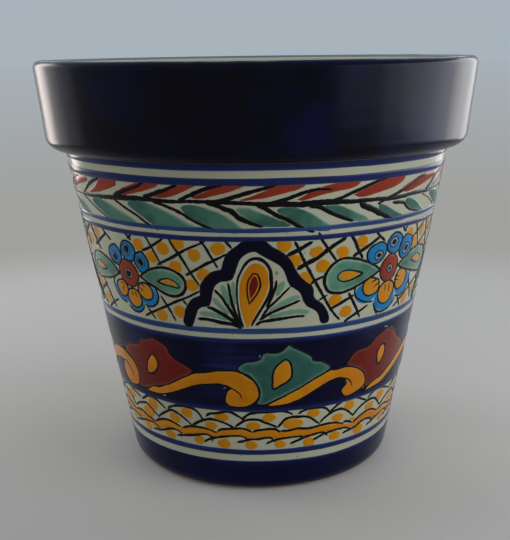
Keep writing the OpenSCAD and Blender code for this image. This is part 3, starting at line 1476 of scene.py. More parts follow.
@dataclass
class ClayBody:
    """The clay: the floor with its drain hole, the wall and the collar.

    Attributes:
        shop: Where it is made.
        ring_pitch: Distance between the throwing rings inside.
        ring_depth: Their depth.
        ring_edge: Width of the plain edges beside the rings on the floor.
        floor_step: Distance between points on the floor.
        wall_step: Distance between points inside the wall.
        drain_ease: How far the drain hole's edges are eased.
        ease_steps: Parts that an eased edge is turned in.
        bare_top: Height up to which the inside is bare.
    """

    shop: Workshop
    ring_pitch: float = 6.5
    ring_depth: float = 0.45
    ring_edge: float = 1.0
    floor_step: float = 1.2
    wall_step: float = 1.3
    drain_ease: float = 1.5
    ease_steps: int = 5
    bare_top: float = 164.0

    def ring_cut(self, run: float) -> float:
        """Depth of the throwing rings at a distance along the surface."""
        return self.ring_depth * (0.5 + 0.5 * math.sin(math.tau * run / self.ring_pitch))

    def floor(self) -> list[Turn]:
        """Half profile of the floor.

        Returns:
            The closed profile.
        """
        form, ease = self.shop.form, self.drain_ease
        top, out, hole = form.floor_t, form.wall(form.floor_t), form.drain_r + ease
        under = arc((hole, ease), ease, 180.0, 270.0, self.ease_steps)
        rim = arc((hole, top - ease), ease, 90.0, 180.0, self.ease_steps)
        steps = math.ceil((out - hole) / self.floor_step)
        places = [out + (hole - out) * i / steps for i in range(steps)]
        first, last = hole + self.ring_edge, form.bore(top) - self.ring_edge
        rings = [(r, top - (self.ring_cut(r) if first < r < last else 0.0)) for r in places]
        return [Turn(r, z) for r, z in under + form.foot_edge(0.0, -90.0) + rings + rim]

    def wall(self) -> list[Turn]:
        """Half profile of the wall.

        Returns:
            The closed profile.
        """
        form = self.shop.form
        edge = form.inner_edge(0.0)
        low, high = form.floor_t, edge[-1][1]
        steps = math.ceil((high - low) / self.wall_step)
        heights = [high + (low - high) * i / steps for i in range(1, steps + 1)]
        bare = [(form.bore(z) + (self.ring_cut(z) if z < self.bare_top else 0.0), z) for z in heights]
        outer = dense([(form.wall(low), low), (form.wall(form.height), form.height)])
        return [Turn(r, z) for r, z in outer + edge + bare]

    def collar(self) -> list[Turn]:
        """Half profile of the collar.

        Returns:
            The closed profile.
        """
        form = self.shop.form
        face = form.collar_edge(0.0) + form.lip_edge(0.0, -form.collar_deg, CREST)
        back = [(form.wall(form.height), form.height), (form.wall(form.collar_z), form.collar_z)]
        return [Turn(r, z) for r, z in dense([*face, *back, face[0]])[:-1]]

    def build(self) -> None:
        """Turns the three pieces."""
        self.shop.coat("floor_slab", self.floor(), BARE_CLAY, Slot.TERRACOTTA)
        self.shop.coat("clay_wall", self.wall(), BARE_CLAY, Slot.TERRACOTTA)
        self.shop.coat("rim_collar", self.collar(), BARE_CLAY, Slot.TERRACOTTA)


@dataclass
class Glazes:
    """The glazes that cover the clay: white on the wall and lip, cobalt on the collar.

    Attributes:
        shop: Where they are made.
        lip_turn: Turn of the lip's edge where the cobalt ends, in degrees.
        lip_fade: Distance from there over which it thins.
        lip_hold: Distance from there that its wander reaches.
        lip_wander: How far it wanders, and the lip line with it.
        lip_bed: How far the white lies below the colours on the lip.
        line_back: How far before the cobalt's end the lip line starts, in degrees.
        line_lift: How far it stands over the cobalt.
        line_places: Places of its points inside the lip's crest.
        line_root: Turn of the lip's edge where its underside ends, in degrees.
        white_back: How far before the cobalt's end the white starts, in degrees.
        run_wander: How far the white's edge inside wanders.
        run_hold: Distance from that edge that the wander reaches.
        run_round: Distance from it at which the white has its thickness.
        run_fade: Distance from it at which the white has its colour.
    """

    shop: Workshop
    lip_turn: float = 80.0
    lip_fade: float = 4.0
    lip_hold: float = 2.5
    lip_wander: float = 0.5
    lip_bed: float = 0.07
    line_back: float = 4.0
    line_lift: float = 0.02
    line_places: tuple[float, ...] = (0.7, 1.5, 2.4, 3.3, 4.2, 5.0)
    line_root: float = 88.0
    white_back: float = 10.0
    run_wander: float = 5.0
    run_hold: float = 9.0
    run_round: float = 1.5
    run_fade: float = 4.0

    def sheet(self, outer: Path, inner: Path) -> list[Turn]:
        """A plain coat between its outer and inner side."""
        return [Turn(r, z) for r, z in [*dense(outer), *reversed(dense(inner))]]

    def wall_glaze(self) -> list[Turn]:
        """Half profile of the white glaze on the wall.

        Returns:
            The closed profile.
        """
        form = self.shop.form
        sides = []
        for t in (form.glaze_t, -form.bed):
            top = (form.wall(form.collar_z, t), form.collar_z)
            sides.append([*form.foot_edge(t, form.bare_deg), top])
        return self.sheet(*sides)

    def collar_glaze(self) -> list[Turn]:
        """Half profile of the cobalt on the collar, thinning at the lip.

        Returns:
            The closed profile.
        """
        form = self.shop.form
        turn = (-form.collar_deg, self.lip_turn)
        neck = form.collar_z - form.glaze_t
        start = (form.wall(neck, form.glaze_t + form.brush_t), neck)
        outer = dense([start, *form.collar_edge(form.glaze_t), *form.lip_edge(form.glaze_t, *turn)], 1.2)
        end = outer[-1]
        turns = []
        for r, z in outer:
            far = math.hypot(end[0] - r, end[1] - z)
            hold = max(0.0, 1.0 - far / self.lip_hold)
            turns.append(Turn(r, z, min(1.0, far / self.lip_fade), (0.0, hold), Side.UPPER))
        inner = dense([*form.collar_edge(-form.bed), *form.lip_edge(-form.bed, *turn)])
        return turns + [Turn(r, z) for r, z in reversed(inner)]

    def lip_line(self) -> list[Turn]:
        """Half profile of the blue-green line on the lip's crest.

        Returns:
            The closed profile.
        """
        form = self.shop.form
        low = self.lip_turn - self.line_back
        outer = form.lip_edge(form.glaze_t + self.line_lift, low, CREST)
        crest = outer[-1]
        outer += [(crest[0] - d, crest[1]) for d in self.line_places]
        turns = []
        for i, (r, z) in enumerate(outer):
            share = i / (len(outer) - 1)
            a = math.radians(min(CREST, low + (CREST - low) * i / form.lip_steps))
            side = Side.LOWER if share < 0.5 else Side.UPPER
            hold = abs(share - 0.5) * 2.0
            slide = (-math.sin(a) * hold, (math.cos(a) + form.slope(r, z)) * hold)
            turns.append(Turn(r, z, 1.0 - hold, slide, side))
        inner = form.lip_edge(-form.bed, low, self.line_root)
        return turns + [Turn(r, z) for r, z in reversed(inner)]

    def lip_glaze(self) -> list[Turn]:
        """Half profile of the white glaze over the lip and down the inside.

        Returns:
            The closed profile.
        """
        form = self.shop.form
        low = form.span("lip_glaze")[0]
        turn = (self.lip_turn - self.white_back, CREST)
        sides = []
        for t in (form.glaze_t - self.lip_bed, -form.bed):
            path = [*form.lip_edge(t, *turn), *form.inner_edge(t), (form.bore(low, t), low)]
            sides.append(dense(path))
        outer, inner = sides
        turns = []
        for side in (outer, inner[::-1]):
            for r, z in side:
                far = z - low
                hold = max(0.0, 1.0 - far / self.run_hold)
                thin = 1.0 - min(1.0, far / self.run_round) if side is outer else 0.0
                slide = (form.lean * hold, hold)
                full = min(1.0, far / self.run_fade)
                turns.append(Turn(r + thin * form.glaze_t, z, full, slide, Side.LOWER))
        return turns

    def build(self) -> None:
        """Turns the four glazes."""
        coat, wander = self.shop.coat, self.lip_wander
        coat("tin_glaze", self.wall_glaze(), WHITE, Slot.WHITE_GLAZE)
        coat("collar_glaze", self.collar_glaze(), COLLAR_COBALT, Slot.DARK_COBALT, wander)
        coat("lip_line", self.lip_line(), LIP_GREEN, Slot.BLUE_GREEN, wander)
        coat("lip_glaze", self.lip_glaze(), WHITE, Slot.WHITE_GLAZE, self.run_wander)


@dataclass
class CobaltBands:
    """The cobalt stripes and grounds, brushed on the white glaze while the pot turns.

    Attributes:
        shop: Where they are made.
        stripes: Each stripe's node with its finish.
        wander: How far a stripe's edges wander.
        stripe_fade: Distance from a stripe's edge at which it is full.
        stripe_loose: Distance from its edge that the wander reaches.
        ground_fade: Distance from a broad ground's edge at which it is full.
        ground_loose: Distance from its edge that the wander reaches.
        foot_fade: Distance from the bare foot at which the lowest band is full.
    """

    shop: Workshop
    stripes: tuple[tuple[str, Finish], ...] = (
        ("neck_stripe", BRUSHED_COBALT),
        ("shoulder_stripe", BRUSHED_COBALT),
        ("garland_stripe", PALE_COBALT),
        ("lattice_top_stripe", BRUSHED_COBALT),
        ("lattice_foot_stripe", PALE_COBALT),
        ("scale_stripe", BRUSHED_COBALT),
    )
    wander: float = 0.55
    stripe_fade: float = 1.4
    stripe_loose: float = 2.0
    ground_fade: float = 3.6
    ground_loose: float = 4.0
    foot_fade: float = 1.2

    def band(self, node: str, fade: float, loose: float) -> list[Turn]:
        """Half profile of a brushed band that stands for a node.

        Args:
            node: The node.
            fade: Distance from an edge at which the brush has covered fully.
            loose: Distance from an edge that its wander reaches.

        Returns:
            The closed profile.
        """
        form = self.shop.form
        low, high = form.span(node)
        outer = form.brushed(low, high, fade, loose)
        bed = form.glaze_t - form.bed
        inner = [Turn(form.wall(p.z, bed), p.z, p.edge, p.slide, p.side) for p in reversed(outer)]
        return outer + inner

    def foot_band(self) -> list[Turn]:
        """Half profile of the band that covers the foot edge.

        Returns:
            The closed profile.
        """
        form = self.shop.form
        high = form.span("foot_band")[1]
        band = form.brushed(0.0, high, self.ground_fade, self.ground_loose)
        wall = [p for p in band if p.z > form.foot_round]
        sides = []
        for t in (form.glaze_t + form.brush_t, form.glaze_t - form.bed):
            edge = form.foot_edge(t, form.bare_deg)
            sides.append([Turn(r, z, min(1.0, (z - edge[0][1]) / self.foot_fade)) for r, z in edge])
        bed = [Turn(form.wall(p.z, form.glaze_t - form.bed), p.z, 1.0, p.slide, p.side) for p in wall]
        return [*sides[0], *wall, *reversed(bed), *reversed(sides[1])]

    def build(self) -> None:
        """Turns the eight bands."""
        for node, finish in self.stripes:
            profile = self.band(node, self.stripe_fade, self.stripe_loose)
            self.shop.coat(node, profile, finish, Slot.COBALT, self.wander)
        ground = self.band("wave_ground", self.ground_fade, self.ground_loose)
        self.shop.coat("wave_ground", ground, DARK_COBALT, Slot.DARK_COBALT, self.wander)
        self.shop.coat("foot_band", self.foot_band(), FOOT_COBALT, Slot.DARK_COBALT, self.wander)


@dataclass
class Ornament:
    """A band of brushed ornament.

    Attributes:
        shop: Where it is painted.
        height: Height at which its degrees are measured out.
    """

    shop: Workshop
    height: float

    def brush(self, seed: int) -> FlatPaint:
        """Paint of one colour, with an unevenness of its own."""
        return FlatPaint(self.shop.degree(self.height), seed)


@dataclass
class Garland(Ornament):
    """The garland under the collar: a black stem with red leaves above and green leaves below.

    Attributes:
        upper: Angles between which the stem and the red leaves are drawn, to be repeated.
        lower: The same for the green leaves.
        stem: Course of the stem.
        stem_widths: Its width along the way.
        red_veins: The veins above it, each with its width.
        red_leaves: Outlines of the red leaves, from the stem.
        green_veins: The veins below it, each with its width.
        green_leaves: Outlines of the green leaves, from the stem.
        leaf_level: Thickness of a leaf.
        line_level: Thickness of a line.
    """

    height: float = 140.0
    upper: Point = (-61.5, 57.5)
    lower: Point = (-61.5, 55.5)
    leaf_level: float = 0.3
    line_level: float = 0.46
    stem: Path = (
        (-63, 140.5), (-55, 140.9), (-35, 142.6), (-25, 142.6), (-10, 142.9), (-5, 142.4), (10, 141.6),
        (20, 141.9), (40, 140.5), (55, 140.8), (59, 140.6),
    )
    stem_widths: tuple[float, ...] = (
        1.8, 1.9, 2.1, 2.6, 1.9, 1.6, 2, 1.8, 2.4, 2.9, 2.3, 1.9, 2.1, 1.8, 1.9,
    )
    red_veins: tuple[Stroke, ...] = (
        (2.1, ((-61.5, 140.8), (-56, 146.2), (-49.3, 149.9))),
        (2.2, ((-44, 142.3), (-41.5, 144), (-34, 148.3), (-31, 150.9))),
        (2, ((-32.5, 143.6), (-26.5, 146.4), (-21, 150.2))),
        (2, ((-21.5, 142.8), (-13, 148.8), (-8.5, 150.5))),
        (1.9, ((-12, 142.6), (0, 147.9), (5.2, 150.6))),
        (1.8, ((1.5, 142), (5, 142.7), (8, 144), (12, 146.6), (16, 147.6), (19.8, 147.4))),
        (1.6, ((19.5, 142.2), (22.5, 143.2), (26, 145.5), (38.5, 151))),
        (1.8, ((38, 140.6), (45, 143.8), (49, 146.3), (53, 148), (56, 148.6))),
        (1.3, ((34.8, 138.4), (36.6, 139.6), (38.5, 140.4))),
    )
    red_leaves: tuple[Path, ...] = (
        ((-58.8, 142.2), (-55, 143.9), (-52, 146.2), (-48, 150.6), (-44, 150.6), (-41.3, 150.9),
         (-41.4, 149), (-42.2, 147), (-49, 143.9), (-54, 142.5)),
        ((-42, 144.4), (-39.5, 146.7), (-33, 150.4), (-30, 150.9), (-27.2, 150.3), (-26.9, 149.4),
         (-28.5, 147.9), (-39.5, 143.5)),
        ((-30, 144), (-26, 146), (-21.2, 149.8), (-19, 150.9), (-16, 151.2), (-15.6, 150.2),
         (-17.3, 148.9), (-19.5, 147), (-25.5, 143.9)),
        ((-17.8, 144.5), (-15, 146.3), (-9, 150.5), (-5, 151), (-2.5, 150.6), (-3.6, 149.3),
         (-15, 144.1)),
        ((-6.5, 143.7), (-4, 144.2), (-1, 145.6), (2, 147.8), (5.2, 150.4), (9, 150.4), (12.4, 150.2),
         (11.5, 148.8), (6, 146), (-3, 143.4)),
        ((10.4, 143.8), (15.5, 148), (21, 150), (28, 150.5), (28.2, 149.5), (27, 148.2), (24.5, 147),
         (17.5, 145.3), (12, 143.2)),
        ((26.4, 144.4), (29, 146.2), (32, 147.6), (38, 150.7), (44, 150.6), (44.6, 149.6), (43.8, 147.8),
         (41, 146), (29.5, 142.7)),
        ((43, 143.6), (45.5, 145.9), (52, 148.4), (60, 149.2), (63, 148.6), (62, 147), (58, 145.6),
         (50, 142.6), (46, 142.3)),
    )
    green_veins: tuple[Stroke, ...] = (
        (0.8, ((-61.5, 139.6), (-58, 137.8), (-50, 132.6), (-46.5, 130.8), (-45, 129.6))),
        (1.3, ((-43.8, 141), (-36.5, 135.3), (-33, 132.2), (-28.5, 129.4))),
        (1.5, ((-29.5, 142), (-26, 140.9), (-21, 137.5), (-15, 132.6), (-12, 130.9), (-10.6, 129.6))),
        (2.4, ((-13.8, 142.3), (-11.5, 141.8), (-9, 140), (-7, 138.7), (-5, 136), (1.5, 132.2))),
        (1.9, ((-0.3, 141.4), (2, 140.3), (5, 137.3), (13.5, 130.3), (15.8, 129.2))),
        (2.1, ((13.5, 140.6), (16.5, 139.9), (22, 135.9), (27.5, 132.4))),
        (2.6, ((28.7, 140.3), (30.5, 138.6), (42.6, 130.4))),
        (1.5, ((40.8, 138.5), (46, 137.4), (48, 135.2), (50, 133.6), (56, 131.6))),
    )
    green_leaves: tuple[Path, ...] = (
        ((-56, 139.4), (-53, 140.5), (-49.5, 140.1), (-45, 138.2), (-38, 133.6), (-35.6, 130.2),
         (-38, 129.9), (-42, 130), (-45.5, 130.9), (-49, 132.8), (-55, 137.4)),
        ((-38.5, 140.2), (-36, 141.6), (-33, 141.9), (-26, 138.7), (-19.5, 133.8), (-16, 131), (-17, 130),
         (-28.5, 130.9), (-31.5, 132.3), (-37, 137.6)),
        ((-20.8, 140.3), (-18.5, 141.2), (-15.5, 140.9), (-8.5, 136.9), (-3.6, 131), (-4.2, 129.6),
         (-8, 129.5), (-16.5, 134), (-20.4, 138.4)),
        ((-5.8, 139.8), (-4, 140.6), (-1.5, 140.2), (9.2, 132.5), (8.5, 131.8), (2.2, 132.2),
         (-0.5, 133.7), (-4.5, 137.2)),
        ((5.4, 139.3), (8, 140.4), (11, 140), (18.8, 133.4), (20.8, 130), (18.5, 129.2), (15.5, 129.9),
         (12.5, 131.8), (7, 136.8)),
        ((17.8, 139.6), (20, 140.5), (23, 140), (29.5, 135.6), (32.8, 131.8), (30.5, 131.6), (28, 132.2),
         (25.5, 134.3), (19.5, 137.8)),
        ((35.5, 138), (37.5, 138.2), (43, 134.4), (48.5, 131.2), (48.5, 129.8), (45.5, 129.2),
         (43, 129.9), (41.5, 131.6), (36.5, 135.6)),
        ((46.6, 138.6), (49, 139), (52, 137.6), (58, 132.5), (59.5, 130.8), (57.5, 130.6), (54.5, 131.8),
         (51.5, 132.6), (49, 134.4), (47.5, 136.4)),
    )

    def build(self) -> None:
        """Paints the leaves, then the stem and its veins."""
        shop = self.shop
        upper, lower = panels(*self.upper, ROUNDS), panels(*self.lower, ROUNDS)
        red, green, stem, veins = (self.brush(seed) for seed in range(1, 5))
        for leaf in self.red_leaves:
            flow = (leaf[len(leaf) // 2], leaf[0])
            red.patch(leaf, self.leaf_level, corners=(0,), flow=flow, blush=1.0)
        for leaf in self.green_leaves:
            flow = (leaf[len(leaf) // 3], leaf[-2])
            green.patch(leaf, self.leaf_level, flow=flow, blush=1.5)
        stem.line(self.stem, self.stem_widths, self.line_level)
        stem.strokes(self.red_veins, self.line_level)
        veins.strokes(self.green_veins, self.line_level)
        shop.paint("garland_red_leaves", red, BRICK, upper)
        shop.paint("garland_green_leaves", green, TEAL, lower, Slot.BLUE_GREEN)
        shop.paint("garland_stem", stem, BLACK, upper)
        shop.paint("garland_veins", veins, BLACK, lower)


@dataclass
class Lattice(Ornament):
    """The net of black lines with an orange dot in each mesh, between the fans and the flowers.

    Attributes:
        turns: Angles at which the net about one fan is repeated.
        lines: The lines, each with its width.
        dots: Centres of the dots.
        dot_size: Width and height of a dot.
    """

    height: float = 105.0
    turns: tuple[float, ...] = QUARTERS
    lines: tuple[Stroke, ...] = (
        (1.5, ((10.2, 125.4), (13.6, 115), (21, 96.5), (24.5, 89), (26.4, 86))),
        (1.4, ((17, 129), (18.6, 124.5), (22.9, 114.6))), (1.5, ((28.4, 99), (31.6, 91.8), (34.1, 86))),
        (1.7, ((26.8, 127), (28.6, 122.8), (30.2, 118.5), (32.3, 114.5))),
        (1.4, ((35.6, 127.3), (37.4, 124.2), (40.2, 120.7))),
        (1.9, ((7.9, 119.3), (11.4, 121.6), (15.5, 125.2))),
        (2.2, ((11, 112.4), (13.4, 114.5), (16.5, 116.7), (20.3, 120.6), (25.8, 125.2))),
        (1.4, ((15.4, 105.3), (17, 107), (19.8, 108.8))),
        (1.9, ((28.3, 116.2), (34.5, 120.8), (38, 123.8))), (1.2, ((18.3, 97.2), (21.2, 99.5))),
        (1.8, ((22.3, 92), (28.5, 96), (30.6, 97.6))), (1.5, ((28, 84.4), (30.2, 86.6), (36.9, 91.3))),
        (1.2, ((-42.8, 127.5), (-41.5, 125), (-40.2, 122.9))),
        (1.2, ((-34.3, 127), (-30, 114.8), (-29.2, 112.9))),
        (1.3, ((-26.2, 127.5), (-24.2, 121.2), (-17.5, 104.8))),
        (1.2, ((-17.2, 127.6), (-14, 120.3), (-11.5, 113.3))),
        (1.3, ((-10, 127.9), (-8.6, 124.8), (-7.3, 122.2))),
        (1.3, ((-31.7, 98.5), (-28.2, 90.4), (-27, 86.8))),
        (1.2, ((-37.8, 91.4), (-36.4, 88.8), (-35, 86.1))), (1.2, ((-23.6, 97.3), (-22.5, 95))),
        (1.3, ((-36.1, 118.4), (-32.2, 121.3), (-27.4, 125.4))),
        (1.3, ((-31.1, 112.8), (-23.4, 119), (-14.9, 125.4))),
        (1.3, ((-21.8, 109.6), (-19.9, 110.8), (-8.8, 120.1))),
        (1.3, ((-39.4, 86.5), (-32.5, 92), (-24, 97.3), (-17.6, 102.5))),
        (1.3, ((-41.5, 123.4), (-39.4, 125.4))), (1.4, ((49.5, 123.7), (50.3, 122.9))),
    )
    dots: Path = (
        (7.3, 123.9), (10.4, 116.7), (16.7, 120), (18.9, 113.5), (14.1, 108.6), (24.9, 118.4),
        (31.2, 122.7), (23.9, 96.6), (28.2, 89.8), (-37.2, 121.4), (-32.6, 116.5), (-28, 120.9),
        (-23.3, 123.5), (-24.6, 113), (-18.4, 118.8), (-11.3, 122.4), (-15.9, 110), (-20, 105.1),
        (-32.2, 88.7), (-25.1, 91.7),
    )
    dot_size: Point = (6.7, 6.0)

    def build(self) -> None:
        """Paints the dots, then the lines over them."""
        places = [Place(a) for a in self.turns]
        dabs, net = self.brush(11), self.brush(12)
        for centre in self.dots:
            dabs.dot(centre, self.dot_size, level=0.2, blush=0.9)
        net.strokes(self.lines, level=0.46)
        self.shop.paint("lattice_dots", dabs, ORANGE, places)
        self.shop.paint("lattice_lines", net, BLACK, places)


@dataclass(frozen=True)
class Bloom:
    """The shapes of one flower. An oval is its centre and, in millimetres, half its width and height.

    Attributes:
        heart: The red heart.
        eyes: The eye of the heart, then that of each blue petal.
        petals: The blue petals above the heart.
        lowers: The orange petals below it.
        backs: The blue petals behind those.
        hems: The outer lines of those.
        ticks: Short strokes down from the heart.
        leaves: Outlines of the two leaves, from the heart.
        lenses: Outlines of the orange lens on each leaf, from the end that is nearer the heart.
        pupil: Size of an eye's dark middle, as a share of the eye.
        rim: Width of the black line round an eye.
    """

    heart: Oval
    eyes: tuple[Oval, ...]
    petals: tuple[Oval, ...]
    lowers: tuple[Oval, ...]
    backs: tuple[Oval, ...]
    hems: tuple[Path, ...]
    ticks: tuple[Path, ...]
    leaves: tuple[Path, ...]
    lenses: tuple[Path, ...]
    pupil: float
    rim: float


LEFT_BLOOM = Bloom(
    heart=(-43.8, 106.5, 6.4, 6.6),
    eyes=(
        (-43.7, 106.5, 2.8, 2.5), (-49.3, 112.9, 2.4, 2.5), (-42.4, 118.2, 2.3, 2.8),
        (-37.2, 113, 2.5, 2.3),
    ),
    petals=((-49.2, 114.2, 5, 4.8), (-42.2, 117.4, 4.8, 4.8), (-37, 113, 4.2, 4.8)),
    lowers=((-48.4, 98.2, 4, 4.6), (-43.2, 94.2, 4.7, 4.7), (-37.7, 99.2, 4.8, 4.2)),
    backs=((-48.9, 96.8, 6.2, 6), (-43, 92.6, 6, 5), (-37.2, 97.2, 6.6, 5.4)),
    hems=(
        ((-51, 103.8), (-52.8, 101.5), (-53.2, 98.2), (-52.3, 95), (-50.4, 92.4), (-47.8, 90.6)),
        ((-47, 89.9), (-46, 88.6), (-44.1, 87.6), (-41.5, 88.1), (-39.6, 90.1), (-39.3, 92.2)),
        ((-38.8, 92.1), (-36.4, 92), (-34.1, 93.6), (-32.9, 96.4), (-32.7, 99.5), (-33.6, 101.8)),
    ),
    ticks=(
        ((-47.7, 99.8), (-48.1, 96.8)), ((-43.9, 98), (-43.8, 95.1)), ((-42.6, 98), (-42.1, 94.6)),
        ((-39.5, 103), (-37.4, 101.2)), ((-39.9, 100.6), (-38.5, 98.8)), ((-48.8, 101.5), (-46.8, 100.5)),
    ),
    leaves=(
        ((-48.6, 105.6), (-50.6, 108.2), (-54.1, 110.7), (-57.4, 112.3), (-60.7, 112.9), (-64, 112.1),
         (-66.6, 109.6), (-68.3, 105), (-66.2, 100.4), (-62.6, 99.8), (-57, 101), (-52.2, 102.8)),
        ((-38.8, 106), (-35.6, 109.2), (-31.5, 111.4), (-28.1, 112), (-25.2, 111), (-22.9, 108.4),
         (-22.1, 105), (-22.9, 101.2), (-25.2, 98.8), (-27.4, 98.7), (-30, 99.7), (-35.2, 103.2)),
    ),
    lenses=(
        ((-56.3, 105.5), (-58.5, 107.2), (-61.5, 108.4), (-64, 107.9), (-65.3, 105.6), (-62.4, 104),
         (-59, 104.5)),
        ((-31.7, 104.9), (-29.6, 106.5), (-27.4, 106.9), (-25.6, 105.8), (-24.1, 103.4), (-26.6, 103.2),
         (-29.6, 103.9)),
    ),
    pupil=0.86,
    rim=0.55,
)
RIGHT_BLOOM = Bloom(
    heart=(44.4, 107.4, 6.3, 6.3),
    eyes=(
        (44.4, 107.1, 2.1, 2.1), (38.4, 114.5, 2.6, 2.1), (44.6, 119.4, 3, 2.4), (51.7, 115.1, 2.8, 2.6),
    ),
    petals=((37.8, 115.8, 5.9, 5), (45.2, 118.8, 5.4, 5), (51.8, 115.8, 5.5, 5.7)),
    lowers=((37.2, 100, 5.1, 4.5), (44.6, 95.6, 5.9, 5.5), (52, 100.1, 5.1, 5.1)),
    backs=((35.8, 97.6, 7.2, 5.2), (44.7, 92.4, 7.8, 6.3), (54, 97.4, 6.7, 5.9)),
    hems=(
        ((31.6, 102), (30.7, 99.6), (31.5, 96.2), (34, 93.8), (36.9, 92.7), (39, 92.4)),
        ((39.2, 91.8), (40.2, 88.4), (42.2, 86.1), (45.4, 86.2), (48.2, 87.6), (50.1, 89.6),
         (50.4, 92.2)),
        ((50.5, 92.4), (53.4, 91.3), (56.2, 92.6), (58.2, 95.8), (58.6, 99.2), (57.8, 101.9)),
        ((39.1, 91), (40.4, 87.8), (41.9, 84.7)),
    ),
    ticks=(
        ((39.6, 103.7), (37.1, 102.1)), ((40.5, 102), (38.1, 99.3)), ((43.5, 100.1), (44, 96)),
        ((45.4, 100.2), (46, 95.4)), ((48.1, 102.3), (51, 101.5)), ((48.1, 100.6), (50.5, 99.8)),
    ),
    leaves=(
        ((40.2, 107.4), (37, 110.4), (33, 113.1), (29.7, 114.8), (26, 115.6), (23, 114.4), (20.6, 111.2),
         (19.8, 107.4), (20.3, 103.6), (21.8, 100.8), (24.8, 99.7), (28.2, 100.2), (34.5, 103.4)),
        ((48.9, 107.2), (51.6, 110), (54.5, 112.1), (57.9, 113.3), (61.6, 113.6), (65.5, 112.9),
         (69, 110.4), (70.8, 105.8), (67.6, 100.2), (64.1, 100.3), (60.4, 101.4), (53, 104.6)),
    ),
    lenses=(
        ((33, 107.4), (30.4, 109), (27.6, 109.9), (24.9, 109.5), (23.6, 107.6), (25, 105.4), (28, 105),
         (30.8, 106)),
        ((57, 107.9), (59.6, 109.4), (62.6, 109.4), (66, 106.8), (66.7, 104.9), (63.8, 104.6),
         (60.2, 105.8)),
    ),
    pupil=0.70,
    rim=0.9,
)


@dataclass
class Flowers(Ornament):
    """The four flowers: a red heart, blue petals above, orange petals below and two leaves.

    Attributes:
        turns: Angles at which the two are repeated.
        blooms: The flowers to either side of a fan.
        heart_eye: Thickness of the eye of a heart.
        petal_eye: Thickness of the eye of a petal.
        pupil_rise: How much thicker an eye's dark middle is.
        rim_rise: How much thicker the line round it is.
        paints: The paint of each of their colours and layers, by its name.
    """

    height: float = 107.0
    turns: tuple[float, ...] = HALVES
    blooms: tuple[Bloom, ...] = (LEFT_BLOOM, RIGHT_BLOOM)
    heart_eye: float = 0.52
    petal_eye: float = 0.36
    pupil_rise: float = 0.08
    rim_rise: float = 0.10
    paints: dict[str, FlatPaint] = field(default_factory=dict, init=False)

    def build(self) -> None:
        """Paints the petals and leaves, the hearts, and the black lines last."""
        shop, paints = self.shop, self.paints
        places = [Place(a) for a in self.turns]
        names = ("sky", "petals", "orange", "leaves", "red", "pale", "navy", "black")
        for seed, name in enumerate(names, 21):
            paints[name] = self.brush(seed)
        for bloom in self.blooms:
            self.petals(bloom)
            self.leaves(bloom)
            self.heart(bloom)
        shop.paint("flower_back_petals", paints["sky"], SKY, places)
        shop.paint("flower_top_petals", paints["petals"], SKY, places)
        shop.paint("flower_orange_petals", paints["orange"], ORANGE, places)
        shop.paint("flower_leaves", paints["leaves"], LEAF_TEAL, places, Slot.BLUE_GREEN)
        shop.paint("flower_hearts", paints["red"], BRICK, places)
        shop.paint("flower_eye_rings", paints["pale"], EYE_WHITE, places)
        shop.paint("flower_eyes", paints["navy"], NAVY, places, Slot.DARK_COBALT)
        shop.paint("flower_lines", paints["black"], BLACK, places)

    def petals(self, bloom: Bloom) -> None:
        """Paints a flower's petals with their lines.

        Args:
            bloom: The flower.
        """
        paints, black = self.paints, self.paints["black"]
        for size in bloom.backs:
            paints["sky"].patch(black.oval(*size), level=0.14)
        black.strokes([(1.2, hem) for hem in bloom.hems], level=0.30)
        for kind, ovals in (("orange", bloom.lowers), ("petals", bloom.petals)):
            for size in ovals:
                outline = black.oval(*size)
                paints[kind].patch(outline, level=0.30, inset=0.3, blush=0.8)
                black.line(outline, width=(1.0, 1.2, 0.9), level=0.40, closed=True)

    def leaves(self, bloom: Bloom) -> None:
        """Paints a flower's two leaves with their lenses.

        Args:
            bloom: The flower.
        """
        paints, black = self.paints, self.paints["black"]
        for leaf, lens in zip(bloom.leaves, bloom.lenses):
            flow = (leaf[len(leaf) // 2], leaf[0])
            paints["leaves"].patch(leaf, level=0.30, inset=0.5, corners=(0,), flow=flow, blush=2.0)
            black.line(leaf, width=(1.3, 1.7, 1.4), level=0.44, closed=True, corners=(0,))
            paints["orange"].patch(lens, level=0.40, inset=0.3, corners=(0,), blush=0.7)
            black.line(lens, width=(1.5, 0.9, 1.0, 1.6), level=0.48, closed=True, corners=(0,))

    def heart(self, bloom: Bloom) -> None:
        """Paints a flower's heart, all its eyes and the strokes below the heart.

        Args:
            bloom: The flower.
        """
        paints, black = self.paints, self.paints["black"]
        outline = black.oval(*bloom.heart)
        paints["red"].patch(outline, level=0.44, inset=0.3, blush=1.0)
        black.line(outline, width=(0.7, 0.9, 0.7), level=0.48, closed=True)
        for i, (x, z, wide, high) in enumerate(bloom.eyes):
            level = self.petal_eye if i else self.heart_eye
            paints["pale"].patch(black.oval(x, z, wide, high), level)
            pupil = black.oval(x, z, wide * bloom.pupil, high * bloom.pupil)
            paints["navy"].patch(pupil, level + self.pupil_rise)
            black.line(black.oval(x, z, wide, high), (bloom.rim,), level + self.rim_rise, closed=True)
        black.strokes([(1.1, tick) for tick in bloom.ticks], level=0.44)


